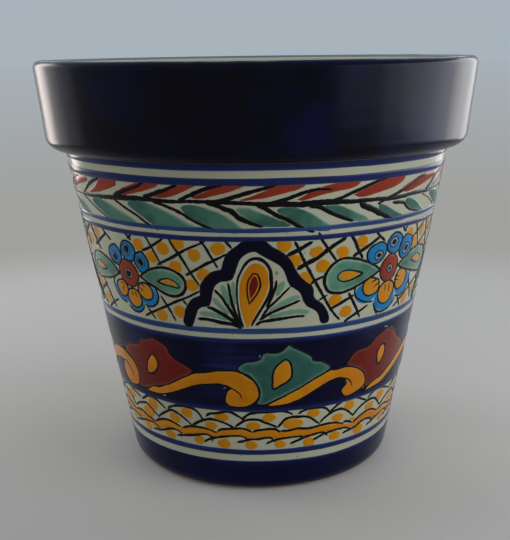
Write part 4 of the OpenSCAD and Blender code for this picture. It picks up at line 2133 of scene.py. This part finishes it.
@dataclass
class ShellFans(Ornament):
    """The four shell fans: a scalloped dark arch over a drop with rays to either side.

    Attributes:
        turns: Angles of the fans.
        arch: Outline of the dark arch.
        notches: Indices of its points between two scallops.
        drop: Outline of the orange drop.
        hull: The line round the drop.
        hull_widths: Its width along the way.
        heart: Outline of the heart in the drop.
        heart_tips: Indices of its two tips.
        rays: The black rays, each with its width, from the foot outwards.
        washes: The pale green strokes between them, each with its width.
    """

    height: float = 105.0
    turns: tuple[float, ...] = QUARTERS
    arch: Path = (
        (-24.4, 86.7), (-23.9, 90), (-22.9, 94), (-21.6, 96.8), (-20, 98.9), (-17.9, 100.3),
        (-17.5, 104.8), (-16.6, 107.2), (-15, 110), (-13.4, 111.8), (-10.6, 112.9), (-9.9, 116.5),
        (-8.9, 120.3), (-7, 122.7), (-5, 125), (-3, 126.7), (-1, 127.7), (0.8, 127.2), (3.6, 123.8),
        (7.6, 120.2), (9, 118), (10, 115.5), (10.8, 112.5), (12.3, 109.4), (14.3, 106.5), (15.9, 105),
        (16.7, 102.5), (16.9, 99.8), (18, 97.6), (19.6, 96), (21, 93.6), (22.2, 90.5), (22.7, 87.5),
        (22, 85.9), (20.5, 85.7), (19.4, 87), (18.9, 89.5), (17.8, 92), (14.5, 95.2), (13.4, 98),
        (12.5, 101), (11, 103), (9.2, 104.7), (8.3, 107.2), (7.2, 112.6), (6, 114.8), (4.4, 116.4),
        (0.2, 119.6), (-1, 120.8), (-2.8, 120.2), (-4.6, 118.6), (-5.6, 116.4), (-6.8, 110.8),
        (-7.6, 108.4), (-9.2, 107.2), (-11.4, 106.6), (-13, 104.4), (-13.8, 101.5), (-14.2, 98),
        (-15, 95.4), (-18.4, 94), (-19.5, 91.4), (-21.4, 85.5), (-22.8, 84),
    )
    notches: tuple[int, ...] = (5, 10, 25, 38, 42, 54, 59)
    drop: Path = (
        (-3.7, 85.2), (-4.6, 88), (-5.7, 97), (-5.4, 106.5), (-3.2, 113.8), (-1.6, 115.7), (0.2, 115.6),
        (1.7, 114.3), (2.8, 111.5), (2.9, 104.5), (-1.7, 89.8),
    )
    hull: Path = (
        (-5, 85.6), (-5.9, 90), (-6.6, 101), (-6.3, 106.5), (-5.3, 111.3), (-3.8, 115.4), (-2.2, 117.4),
        (-0.6, 117.9), (1.2, 117), (2.6, 115), (3.6, 111.5), (3.3, 102.5), (-2.6, 86),
    )
    hull_widths: tuple[float, ...] = (1.2, 1.0, 1.0, 1.6, 1.5, 1.4, 1.1)
    heart: Path = (
        (-2.8, 97), (-3.3, 103), (-2.7, 108), (-1.5, 111.2), (-0.2, 110.8), (0.8, 106.4), (0.1, 103),
        (-1.4, 99.6),
    )
    heart_tips: tuple[int, ...] = (0, 3)
    rays: tuple[Stroke, ...] = (
        (1.4, ((-6, 86.5), (-8.3, 98.5), (-9, 106.8))),
        (1.5, ((-6, 86.5), (-10.7, 98.8), (-13.3, 103.2))),
        (1.9, ((-5.6, 85.8), (-8, 89), (-14, 94.2), (-16, 94.7))),
        (1.8, ((-5.4, 85.4), (-8.3, 87.3), (-12, 88), (-16, 89), (-19.4, 89))),
        (1.4, ((2.3, 95.2), (4.8, 105), (5.2, 108.2))), (1.3, ((0.8, 90.6), (2.8, 95), (9.2, 104.7))),
        (1.6, ((0, 89.2), (4, 93), (12.8, 97.9))),
        (1.5, ((-1.2, 86.5), (0.8, 88.4), (9, 90), (14.2, 90.2))),
    )
    washes: tuple[Stroke, ...] = (
        (2, ((-7.5, 107.4), (-7.5, 102), (-7, 97))), (3.2, ((-10.8, 105.6), (-9.8, 101), (-8.7, 96.2))),
        (2.6, ((-13.5, 99.2), (-12, 96.5), (-9.4, 92.2))),
        (2.5, ((-18.6, 91.7), (-14, 91.4), (-9.4, 89.6))), (2.2, ((5.2, 112.6), (5.4, 110.6))),
        (3, ((7.4, 107.3), (6.2, 104.5), (5.2, 101))),
        (2.6, ((12.7, 99.7), (9.5, 98.6), (5.8, 95.8), (3, 92.6))),
        (2.5, ((15.8, 92.1), (12, 92.7), (7, 92), (3, 90.6))),
    )

    def build(self) -> None:
        """Paints the washes, the drop and the rays, then the arch over them."""
        shop, tips = self.shop, self.heart_tips
        places = [Place(a) for a in self.turns]
        wash, drop, heart, black, arch = (self.brush(seed) for seed in range(31, 36))
        wash.strokes(self.washes, level=0.16)
        drop.patch(self.drop, level=0.2, corners=(0,), blush=0.7)
        heart.patch(self.heart, level=0.30, inset=0.7, corners=tips, blush=0.7)
        black.line(self.hull, self.hull_widths, level=0.36)
        black.line(self.heart, width=(0.9, 1.0, 1.1, 0.9), level=0.42, closed=True, corners=tips)
        black.strokes(self.rays, level=0.36)
        arch.patch(self.arch, level=0.52, corners=self.notches)
        shop.paint("fan_washes", wash, PALE_TEAL, places, Slot.BLUE_GREEN)
        shop.paint("fan_drops", drop, OCHRE, places)
        shop.paint("fan_hearts", heart, DARK_RED, places)
        shop.paint("fan_lines", black, BLACK, places)
        shop.paint("fan_arches", arch, NAVY, places, Slot.DARK_COBALT)


@dataclass(frozen=True)
class Scroll:
    """One ochre scroll.

    Attributes:
        outline: Its outline, from the tail.
        corners: Indices of points where it turns sharply.
        curls: The strokes inside its curl.
    """

    outline: Path
    corners: tuple[int, ...]
    curls: tuple[Stroke, ...]

    def turned(self, turn: float) -> "Scroll":
        """The same scroll further round the pot.

        Args:
            turn: How much further, in degrees.

        Returns:
            The scroll.
        """
        outline = [(x + turn, z) for x, z in self.outline]
        curls = [(width, [(x + turn, z) for x, z in points]) for width, points in self.curls]
        return replace(self, outline=outline, curls=curls)


LONG_SCROLL = Scroll(
    (
        (-47.3, 46.2), (-42.5, 49.8), (-39, 50.6), (-35.5, 52.4), (-26.5, 59), (-23, 61.2), (-18.5, 62.5),
        (-13, 63.9), (-9, 64.2), (-6.5, 63.4), (-4, 61.7), (-2.2, 59.8), (-0.9, 56.5), (-0.5, 52.8),
        (-1.1, 49.6), (-2.8, 47.3), (-5, 46), (-8, 45.5), (-11.1, 45.6), (-12.2, 48), (-12, 51),
        (-11.2, 53.5), (-9.8, 54.7), (-12.8, 56.5), (-16.5, 56.9), (-20.5, 56), (-25, 54), (-35, 48.2),
        (-40, 46.6),
    ),
    (0, 18, 22),
    ((1.1, ((-13, 56.6), (-10.5, 55.7), (-7, 52.3), (-6.6, 50))),),
)
SHORT_SCROLL = Scroll(
    (
        (1.6, 46.2), (7, 49.7), (19, 58.3), (24.5, 61.3), (27, 61.2), (30, 61.9), (32.5, 61.6),
        (37.5, 58.9), (39.5, 57), (41, 54.2), (41.5, 51.3), (40.8, 49.5), (36.5, 46.8), (34, 46),
        (32.5, 46.2), (31, 47.6), (30.2, 50), (31.3, 52), (32.2, 53.2), (31, 55.6), (29.5, 56.8),
        (27, 56.6), (24, 55.4), (14, 48.8), (10, 46.8), (6, 45.9),
    ),
    (0, 18),
    ((1.1, ((30.5, 56.3), (32.5, 55.2), (34.2, 53), (35.2, 50.4))), (1.8, ((30.4, 54.4), (31.6, 53.2)))),
)
ROUND_SCROLL = Scroll(
    (
        (1.6, 46.2), (7, 49.7), (13, 54.6), (18.5, 60), (23.3, 62.8), (26.3, 63.6), (31.3, 64.4),
        (33.8, 64.1), (37.3, 62), (39.8, 60), (41.1, 57), (41.4, 53), (40.9, 50), (39.8, 47.6),
        (37.3, 46.4), (34.1, 46), (31.6, 47), (30, 49), (29.5, 52), (30, 55), (31.4, 57.4), (29.3, 58),
        (25.6, 57.4), (21.6, 55.6), (18, 52.4), (14, 48.8), (10, 46.8), (6, 45.9),
    ),
    (0, 20),
    ((1.2, ((30.3, 57.6), (33, 57.9), (35.9, 55.6), (37.1, 53), (36.8, 50.8))),),
)


@dataclass
class Scrolls(Ornament):
    """The wave of ochre scrolls on the dark ground, with red and green leaves in turn behind it.

    Attributes:
        halves: Angles at which the red leaves and the scrolls are repeated.
        quarters: Angles at which the green leaf is repeated.
        wave: The scrolls, in their order round half the pot.
        red_leaves: Outlines of the red leaves, from the tip.
        red_drops: Outlines of the drops on them.
        green_leaf: Outline of the green leaf.
        green_drop: Outline of the drop on it.
        red_glints: Places near the red leaves where the white shows through.
        green_glints: The same near the green leaf.
    """

    height: float = 62.0
    halves: tuple[float, ...] = HALVES
    quarters: tuple[float, ...] = (0.0, 88.7, 180.0, 268.7)
    wave: tuple[Scroll, ...] = (
        LONG_SCROLL, SHORT_SCROLL, LONG_SCROLL.turned(88.7), ROUND_SCROLL.turned(88.7),
    )
    red_leaves: tuple[Path, ...] = (
        ((-38.3, 76), (-45, 73), (-45.6, 71.2), (-46.5, 70.2), (-52, 69), (-54.5, 67.6), (-56.5, 65),
         (-52, 61), (-50, 55), (-51.5, 48), (-47, 47.2), (-42.5, 49.8), (-35.5, 52.4), (-26.5, 59),
         (-23.6, 61.8), (-25, 64), (-28, 66), (-31.8, 69.6), (-31.9, 72), (-33, 73.4)),
        ((48.8, 76), (46.5, 74.4), (43.8, 73.2), (42.3, 71.6), (41.5, 70.3), (39.5, 69.4), (35.5, 69.2),
         (33.5, 67.6), (32.2, 65), (31, 63.2), (36, 60), (40.6, 55.6), (41.6, 49.8), (42.3, 48.6),
         (45, 48.9), (54, 53.6), (62, 58.6), (66, 61.5), (63, 65.8), (58, 69.4), (57.2, 71), (55.5, 73),
         (52, 75)),
    )
    red_drops: tuple[Path, ...] = (
        ((-39.5, 67.8), (-41.5, 65.5), (-43, 62), (-43.9, 57.5), (-43.6, 56.3), (-41.5, 56.6),
         (-39.5, 58.4), (-38, 61.2), (-37.7, 64.2), (-38.4, 66.6)),
        ((48.3, 69), (46.4, 67.2), (45.8, 64), (46.3, 60.5), (47, 58), (48.8, 59.6), (50, 62.5),
         (50.3, 65.6), (49.6, 68)),
    )
    green_leaf: Path = (
        (9.7, 77.4), (7, 73.6), (4.5, 72.9), (2.5, 73.4), (1, 72.6), (0, 70), (-2, 69), (-4.5, 68.6),
        (-6, 67.6), (-7.5, 65), (-2.8, 61.3), (-0.3, 55), (-0.8, 49.2), (-1.8, 47.3), (2, 46.9),
        (20, 59.2), (24.4, 61.9), (24.4, 63.2), (21, 66.6), (18, 68.2), (17.7, 69.6), (16.5, 71.2),
        (10.8, 75.6),
    )
    green_drop: Path = (
        (8.7, 69.6), (6.8, 67.9), (5, 65.2), (4.3, 62), (4.4, 58.5), (4.6, 54.8), (7.5, 56.6),
        (9.7, 58.6), (10.9, 61.5), (10, 67.8),
    )
    red_glints: tuple[Path, ...] = (
        ((47, 77.3), (49.5, 76.7)), ((51.6, 76), (52.4, 75.5)), ((-12.6, 54.4), (-11.6, 55.2)),
        ((40.4, 48.3), (41.4, 48.9)), ((-38, 46.3), (-36, 47)),
    )
    green_glints: tuple[Path, ...] = (((-0.1, 70.9), (0.1, 72.5)),)

    def leaves(
        self, name: str, finish: Finish, leaves: Sequence[Path], drops: Sequence[Path], seed: int
    ) -> None:
        """Paints the leaves of one colour with their drops and lines.

        Args:
            name: The colour's name.
            finish: The colour.
            leaves: Their outlines, from the tip.
            drops: Outlines of the drops, from the upper end.
            seed: Picks the unevenness of the brush.
        """
        shop, lift = self.shop, self.shop.form.brush_t
        green = name == "green"
        slot = Slot.BLUE_GREEN if green else None
        glints = self.green_glints if green else self.red_glints
        places = [Place(a) for a in (self.quarters if green else self.halves)]
        fill, seeds, line, glint = (self.brush(seed + i) for i in range(4))
        for leaf, drop in zip(leaves, drops):
            fill.patch(leaf, level=0.16, inset=0.2, corners=(0,), blush=2.4)
            seeds.patch(drop, level=0.28, inset=0.4, corners=(0,), blush=0.7)
            line.line(leaf, width=(0.7, 0.9, 0.8), level=0.24, closed=True, corners=(0,))
            line.line(drop, width=(1.0, 1.2, 1.1), level=0.36, closed=True, corners=(0,))
        glint.strokes([(0.7, points) for points in glints], level=0.44)
        shop.paint(f"scroll_{name}_leaves", fill, finish, places, slot, lift)
        shop.paint(f"scroll_{name}_drops", seeds, OCHRE, places, None, lift)
        shop.paint(f"scroll_{name}_lines", line, BLACK, places, None, lift)
        shop.paint(f"scroll_{name}_glints", glint, GLINT, places, Slot.WHITE_GLAZE, lift)

    def build(self) -> None:
        """Paints the leaves, then the scrolls over them with their lines."""
        shop, lift = self.shop, self.shop.form.brush_t
        self.leaves("red", DARK_RED, self.red_leaves, self.red_drops, seed=41)
        self.leaves("green", DEEP_TEAL, (self.green_leaf,), (self.green_drop,), seed=45)
        places = [Place(a) for a in self.halves]
        ribbon, line = self.brush(51), self.brush(52)
        for scroll in self.wave:
            path, corners = scroll.outline, scroll.corners
            ribbon.patch(path, level=0.30, inset=0.2, corners=corners, blush=1.6)
            line.line(path, width=(0.9, 1.0, 0.9), level=0.38, closed=True, corners=corners)
            line.strokes(scroll.curls, level=0.40)
        shop.paint("scroll_ribbons", ribbon, OCHRE, places, None, lift)
        shop.paint("scroll_lines", line, BLACK, places, None, lift)


@dataclass
class FishScales(Ornament):
    """The fish scales over the foot: three rows of arches, a wavy band and a row of hooks, with dots.

    Attributes:
        rows: For each row of arches, the angles between which it is drawn and its strokes.
        hook_span: The angles between which the hooks are drawn.
        hooks: The hooked strokes.
        wave_span: The angles between which the wavy band is drawn.
        wave: Its course.
        wave_widths: Its width along the way.
        dots: For each row of dots, the angles between which it is drawn and its dots.
        line_width: Width of the arches and hooks.
        line_level: Their thickness.
    """

    height: float = 33.0
    rows: tuple[tuple[Point, tuple[Path, ...]], ...] = (
        ((-52, 62), (
            ((-52.3, 39.6), (-50, 41), (-48, 42.6), (-45, 43.1), (-42, 42.4), (-37.8, 39)),
            ((-36.9, 38.4), (-36, 40.4), (-30, 42.6), (-24.5, 41.8), (-21, 37)),
            ((-20.2, 39.4), (-19, 40.9), (-16, 41.6), (-11, 42.6), (-6.2, 39.2)),
            ((-7, 38.8), (-3.5, 42.2), (8, 42.8), (10.8, 41.8), (12, 40.5)),
            ((14, 40.8), (15.5, 42), (18, 42.8), (24, 42), (27, 38.6)),
            ((26.5, 39.6), (31, 43.2), (38, 44.1), (44.8, 40)),
            ((45, 40.6), (47, 42.2), (50, 43.4), (53.5, 43.3), (61.5, 40.4)),
        )),
        ((-58.5, 55.5), (
            ((-58.5, 33.5), (-56, 35.8), (-49.5, 38.2), (-47, 36.8), (-42.4, 32.4)),
            ((-43, 33.4), (-38.5, 37.2), (-34, 38.9), (-26.2, 33.2)),
            ((-26.3, 33.6), (-21.5, 37.2), (-17.5, 38.2), (-12.5, 36.3), (-9.4, 34.2)),
            ((-9.4, 34.8), (-5.5, 38.6), (-0.5, 38.9), (1.5, 37.6), (6.5, 34.4)),
            ((6.4, 34.5), (10, 39), (16, 39.2), (18.5, 38), (22.4, 34)),
            ((22.4, 34.4), (24.5, 36.8), (27, 38.8), (30, 39.9), (32.5, 39.5), (35, 37.8), (38.5, 34.3)),
            ((37.6, 34.2), (43, 38.8), (49.5, 39), (55.5, 33.3)),
        )),
        ((-60, 54), (
            ((-60, 31.2), (-57, 32.1), (-54, 32.3), (-51, 31.2), (-46, 29.8)),
            ((-46, 29.7), (-41.5, 32.2), (-38.5, 32.8), (-35.5, 32.3), (-32, 30.9)),
            ((-31.5, 30.8), (-27, 32.6), (-21.5, 33), (-16.2, 30.6)),
            ((-16.2, 31.2), (-14.5, 32.8), (-7, 34.2), (-5, 33.6), (-2.8, 32.1)),
            ((-2.9, 32), (-1, 33.2), (5, 33.8), (7.8, 31.8)),
            ((7.6, 32.5), (10.5, 32.6), (13.5, 33.3), (18.5, 32.2), (23, 33.2), (29, 33), (33.5, 31.2)),
            ((33, 31.9), (35, 32.3), (38.3, 30.3)), ((38.3, 30.3), (42, 32.6), (48, 33.6), (53.8, 31.2)),
        )),
    )
    line_width: float = 1.4
    line_level: float = 0.38
    hook_span: Point = (-61.5, 60.0)
    hooks: tuple[Path, ...] = (
        ((-61.5, 25), (-47.5, 28.8), (-43.8, 26.5)),
        ((-48, 25), (-43, 25.8), (-37, 28.4), (-34, 28.6), (-32.3, 27.4), (-32.3, 25.2)),
        ((-34.5, 25.6), (-22, 29.4), (-19.8, 29.2), (-18.4, 27.6), (-18.6, 25.8)),
        ((-22, 25.2), (-19.5, 27), (-12, 29.6), (-8, 30), (-6, 29.6), (-5, 28)),
        ((-8.8, 26.2), (-4, 28.2), (-1, 28.6), (1.5, 29.4), (3.5, 29.3), (5, 28.2)),
        ((1.9, 26.3), (4.5, 27.4), (12.5, 29.2), (15.5, 28.7), (17, 27.8)),
        ((11.3, 25.6), (14, 26.8), (22.5, 29.2), (25, 28.6), (26.6, 26.4)),
        ((20.2, 25.8), (25, 27.9), (34, 29), (37.8, 27)),
        ((33.8, 26), (38.5, 26.9), (44, 29), (47.5, 29), (50, 28), (51.2, 25.6)),
        ((47.3, 25.1), (54, 27.6), (61.5, 28.6), (66, 25.8)),
    )
    wave_span: Point = (-60.0, 54.0)
    wave: Path = (
        (-62, 29.7), (-55, 29.9), (-50, 29.4), (-45, 28.3), (-40, 30.3), (-35, 30.4), (-31.5, 29.3),
        (-25, 31.1), (-20, 30.8), (-16.5, 29.9), (-12, 31), (-7, 31.8), (-3.5, 30.2), (0, 31.2),
        (4, 31.3), (7, 30.4), (10, 30.3), (15, 31), (18.5, 30.3), (23, 31), (28, 31), (33, 30.2),
        (38.5, 28.9), (42, 30.6), (47, 31.2), (51, 30.2), (56, 29.7),
    )
    wave_widths: tuple[float, ...] = (
        4.2, 3.8, 2.2, 3.4, 4.1, 3.8, 3.6, 3.8, 3.7, 3, 3.6, 4, 3.7, 4.1, 4.6, 4.4, 4.2, 4, 4, 4, 3.8,
        2.6, 2.2, 3.6, 4, 4.4, 4,
    )
    dots: tuple[tuple[Point, tuple[Oval, ...]], ...] = (
        ((-52, 62), (
            (-45, 39.5, 7.2, 6.8), (-28.3, 39.6, 6.6, 5.3), (-14, 39.7, 7.2, 4.4), (3.4, 40, 6.8, 5),
            (19.8, 40.2, 6.8, 5), (35.7, 40.6, 6.6, 5.6), (53.8, 39.6, 7.2, 5.6),
        )),
        ((-58.5, 55.5), (
            (-49, 34.2, 8.6, 6.6), (-34.2, 35.2, 6.6, 6), (-18.4, 34.6, 6.8, 5), (-2.5, 35.6, 7.2, 4.8),
            (12.3, 36, 10.6, 5.2), (30.3, 35.6, 7, 5), (47, 36, 7.4, 4.8), (38.2, 32.6, 4, 2),
        )),
        ((-61.5, 60), (
            (-51.5, 25.4, 7, 5), (-38, 25.2, 7.2, 5), (-24, 26, 6, 4.8), (-13.7, 25.4, 7, 5.4),
            (-3.5, 25.2, 6.2, 5), (7.5, 25.5, 5.8, 4.6), (18.9, 25, 6.4, 5), (30, 25.8, 7, 5.4),
            (42.3, 25.5, 7.2, 5.6), (58.5, 25.6, 6.8, 4.6),
        )),
    )

    def build(self) -> None:
        """Paints the dots and the wavy band, then the lines."""
        shop = self.shop
        for row, (span, dots) in enumerate(self.dots, 1):
            dabs = self.brush(60 + row)
            for x, z, wide, high in dots:
                dabs.dot((x, z), (wide, high), level=0.2, blush=0.9)
            shop.paint(f"scale_dots_{row}", dabs, ORANGE, panels(*span, ROUNDS))
        wave = self.brush(67)
        wave.line(self.wave, self.wave_widths, level=0.2)
        shop.paint("scale_wave", wave, OCHRE, panels(*self.wave_span, ROUNDS))
        for row, (span, arches) in enumerate(self.rows, 1):
            self.lines(f"scale_arches_{row}", arches, span, 70 + row)
        self.lines("scale_hooks", self.hooks, self.hook_span, 77)

    def lines(self, name: str, paths: Sequence[Path], span: Point, seed: int) -> None:
        """Paints a row of black lines.

        Args:
            name: The piece's name.
            paths: The lines.
            span: The angles between which they are drawn.
            seed: Picks the unevenness of the brush.
        """
        line = self.brush(seed)
        line.strokes([(self.line_width, points) for points in paths], self.line_level)
        self.shop.paint(name, line, BLACK, panels(*span, ROUNDS))


@dataclass(frozen=True)
class Lamp:
    """A flat lamp that faces the pot.

    Attributes:
        name: Its name.
        place: Where it hangs, in metres.
        watts: Its power.
        size: Its width and height.
        card: Whether it is a lit card that shows only as gloss, and not a lamp that shows as none.
        tint: Colour of its light.
    """

    name: str
    place: tuple[float, float, float]
    watts: float
    size: Point
    card: bool = False
    tint: Colour = (1.0, 1.0, 1.0)


@dataclass
class Studio:
    """The floor, the lamps and the camera.

    Attributes:
        lens: Focal length in millimetres.
        sensor: Width of the sensor in millimetres.
        camera: The camera's place.
        tilt: How far it looks down, in radians.
        roll: How far it is turned about its view, in radians.
        shift: Its sideways shift.
        backdrop: Colour behind the pot.
        horizon: Colour of the backdrop close behind the floor.
        ambient: Light from all round.
        ground: Colour of the floor behind the pot and to the right, the lit end of its painted shade.
        shade: Its colour in front of the pot and to the left: painted shade, the floor drawn darker
            there.
        shaded: Places in front of and behind the pot between which that painted shade fades out.
        lean: Places left and right of the pot between which the painted shade lightens by a part.
        table: Distances from the pot between which the floor turns into the backdrop.
        reach: Radius of the floor.
        sides: How many sides it has.
        lean_share: Part of the painted shade's change that runs from left to right.
        mottle: How uneven its colour and its polish are.
        dull: Its roughness.
        ior: Refractive index of its skin.
        aim: Where the lamps point.
        lamps: The lamps.
    """

    lens: float = 63.34
    sensor: float = 36.0
    camera: tuple[float, float, float] = (0.0, -0.4815, 0.2056)
    tilt: float = 0.2306
    roll: float = -0.0130
    shift: float = -0.0060
    backdrop: Colour = (0.395, 0.450, 0.503)
    horizon: Colour = (0.352, 0.356, 0.342)
    ambient: Colour = (0.475, 0.48, 0.49)
    ground: Colour = (0.665, 0.66, 0.635)
    shade: Colour = (0.475, 0.475, 0.46)
    shaded: Point = (-0.16, 0.12)
    lean: Point = (-0.13, 0.15)
    table: Point = (0.36, 0.58)
    reach: float = 12.0
    sides: int = 48
    lean_share: float = 0.45
    mottle: float = 0.1
    dull: float = 0.3
    ior: float = 1.15
    aim: tuple[float, float, float] = (0.0, 0.0, 0.1)
    lamps: tuple[Lamp, ...] = (
        Lamp("left_fill", (-0.90, 0.30, 0.30), 3.0, (0.6, 0.4)),
        Lamp("right_fill", (0.90, -0.40, 0.38), 4.7, (0.8, 0.6), False, (0.93, 0.97, 1.0)),
        Lamp("left_card", (-0.481, 0.422, 0.22), 0.93, (0.174, 0.44), True, (1.0, 0.90, 0.84)),
        Lamp("left_wing", (-0.572, 0.288, 0.22), 0.19, (0.150, 0.44), True, (1.0, 0.94, 0.92)),
        Lamp("left_tail", (-0.624, 0.144, 0.22), 0.11, (0.157, 0.44), True, (0.85, 0.87, 1.0)),
        Lamp("right_edge", (0.457, 0.449, 0.22), 0.57, (0.190, 0.44), True),
        Lamp("right_card", (0.568, 0.296, 0.22), 0.88, (0.190, 0.44), True, (0.97, 0.97, 1.0)),
        Lamp("right_wing", (0.640, -0.006, 0.22), 2.15, (0.453, 0.44), True, (0.80, 0.80, 1.0)),
        Lamp("right_tail", (0.580, -0.271, 0.22), 0.43, (0.112, 0.44), True, (0.70, 0.72, 1.0)),
        Lamp("right_end", (0.479, -0.424, 0.22), 0.43, (0.260, 0.44), True, (0.70, 0.72, 1.0)),
    )

    def shot(self) -> None:
        """Makes the camera."""
        data = bpy.data.cameras.new("camera")
        data.lens = self.lens
        data.sensor_width = self.sensor
        data.shift_x = self.shift
        cam = bpy.data.objects.new("camera", data)
        look = Matrix.Rotation(math.pi / 2 - self.tilt, 4, "X") @ Matrix.Rotation(self.roll, 4, "Z")
        cam.matrix_world = Matrix.Translation(self.camera) @ look
        bpy.context.scene.collection.objects.link(cam)
        bpy.context.scene.camera = cam

    def light(self) -> None:
        """Hangs the lamps round the pot."""
        for lamp in self.lamps:
            data = bpy.data.lights.new(lamp.name, "AREA")
            data.shape = "RECTANGLE"
            data.energy = lamp.watts
            data.color = lamp.tint
            data.size, data.size_y = lamp.size
            hung = bpy.data.objects.new(lamp.name, data)
            hung.location = lamp.place
            hung.visible_camera = False
            hung.visible_diffuse = not lamp.card
            hung.visible_glossy = lamp.card
            way = Vector(self.aim) - hung.location
            hung.rotation_euler = way.to_track_quat("-Z", "Y").to_euler()
            bpy.context.scene.collection.objects.link(hung)

    def sky(self) -> None:
        """Fills the room with pale light and shows the backdrop behind the pot."""
        world = bpy.data.worlds.new("studio")
        bpy.context.scene.world = world
        g = Graph.anew(world)
        shade = g.mix(self.ambient, self.backdrop, self.seen(g))
        lit = g.node("ShaderNodeBackground", None, {"Color": shade})
        g.node("ShaderNodeOutputWorld", None, {"Surface": lit})

    def seen(self, g: Graph) -> Value:
        """Tells rays that see the backdrop from those that only light the pot.

        Args:
            g: The world's graph.

        Returns:
            1 for a ray from the camera, a mirror or a lens, otherwise 0.
        """
        path = g.node("ShaderNodeLightPath", output="Is Camera Ray")
        both = g.math("MAXIMUM", path, path.output("Is Glossy Ray"))
        return g.math("MAXIMUM", both, path.output("Is Transmission Ray"))

    def floor(self) -> None:
        """Lays the pale floor, which fades into the backdrop, with painted shade darker in front and to
        the left.
        """
        mesh = bpy.data.meshes.new("floor")
        turns = [math.tau * i / self.sides for i in range(self.sides)]
        rim = [(self.reach * math.cos(a), self.reach * math.sin(a), 0.0) for a in turns]
        mesh.from_pydata(rim, [], [tuple(range(self.sides))])
        floor = bpy.data.objects.new("floor", mesh)
        bpy.context.scene.collection.objects.link(floor)
        paper = bpy.data.materials.new("pale_floor")
        g = Graph.anew(paper)
        at = g.node("ShaderNodeTexCoord", output="Object")
        far = g.node("ShaderNodeVectorMath", {"operation": "LENGTH"}, {0: at}, "Value")
        at_y = g.node("ShaderNodeSeparateXYZ", None, {0: at}, "Y")
        mottle = self.mottle * g.noise(at, 9.0)
        # Painted shade: the floor is drawn darker in front of the pot and to the left, lighter behind and
        # to the right.
        lit = g.ramp(at_y, *self.shaded) + self.lean_share * g.ramp(at_y.output("X"), *self.lean)
        shade = g.mix(self.shade, self.ground, lit + mottle)
        sockets = {"Base Color": shade, "Roughness": self.dull + mottle, "IOR": self.ior}
        near = g.node("ShaderNodeBsdfPrincipled", None, sockets)
        depth = 1.0 - self.table[1] / g.math("MAXIMUM", far, self.table[1])
        shade = g.mix(self.horizon, self.backdrop, depth * depth * depth)
        away = g.node("ShaderNodeEmission", None, {"Color": shade})
        fade = g.ramp(far, *self.table)
        both = g.node("ShaderNodeMixShader", None, {0: fade, 1: near, 2: away})
        g.node("ShaderNodeOutputMaterial", None, {"Surface": both})
        mesh.materials.append(paper)

    def build(self) -> None:
        """Sets the studio up."""
        self.shot()
        self.light()
        self.sky()
        self.floor()
        bpy.context.scene.view_settings.view_transform = "Standard"


def main() -> None:
    """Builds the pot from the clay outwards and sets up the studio."""
    logging.basicConfig(level=logging.INFO, format="%(message)s")
    form = PotForm()
    shop = Workshop(form, Wheel(), Easel(form))
    coats = (ClayBody, Glazes, CobaltBands)
    ornaments = (FishScales, Scrolls, Lattice, Flowers, ShellFans, Garland)
    for part in coats + ornaments:
        part(shop).build()
    LOG.info("%d pieces", shop.count)
    Studio().build()


if __name__ == "__main__":
    main()
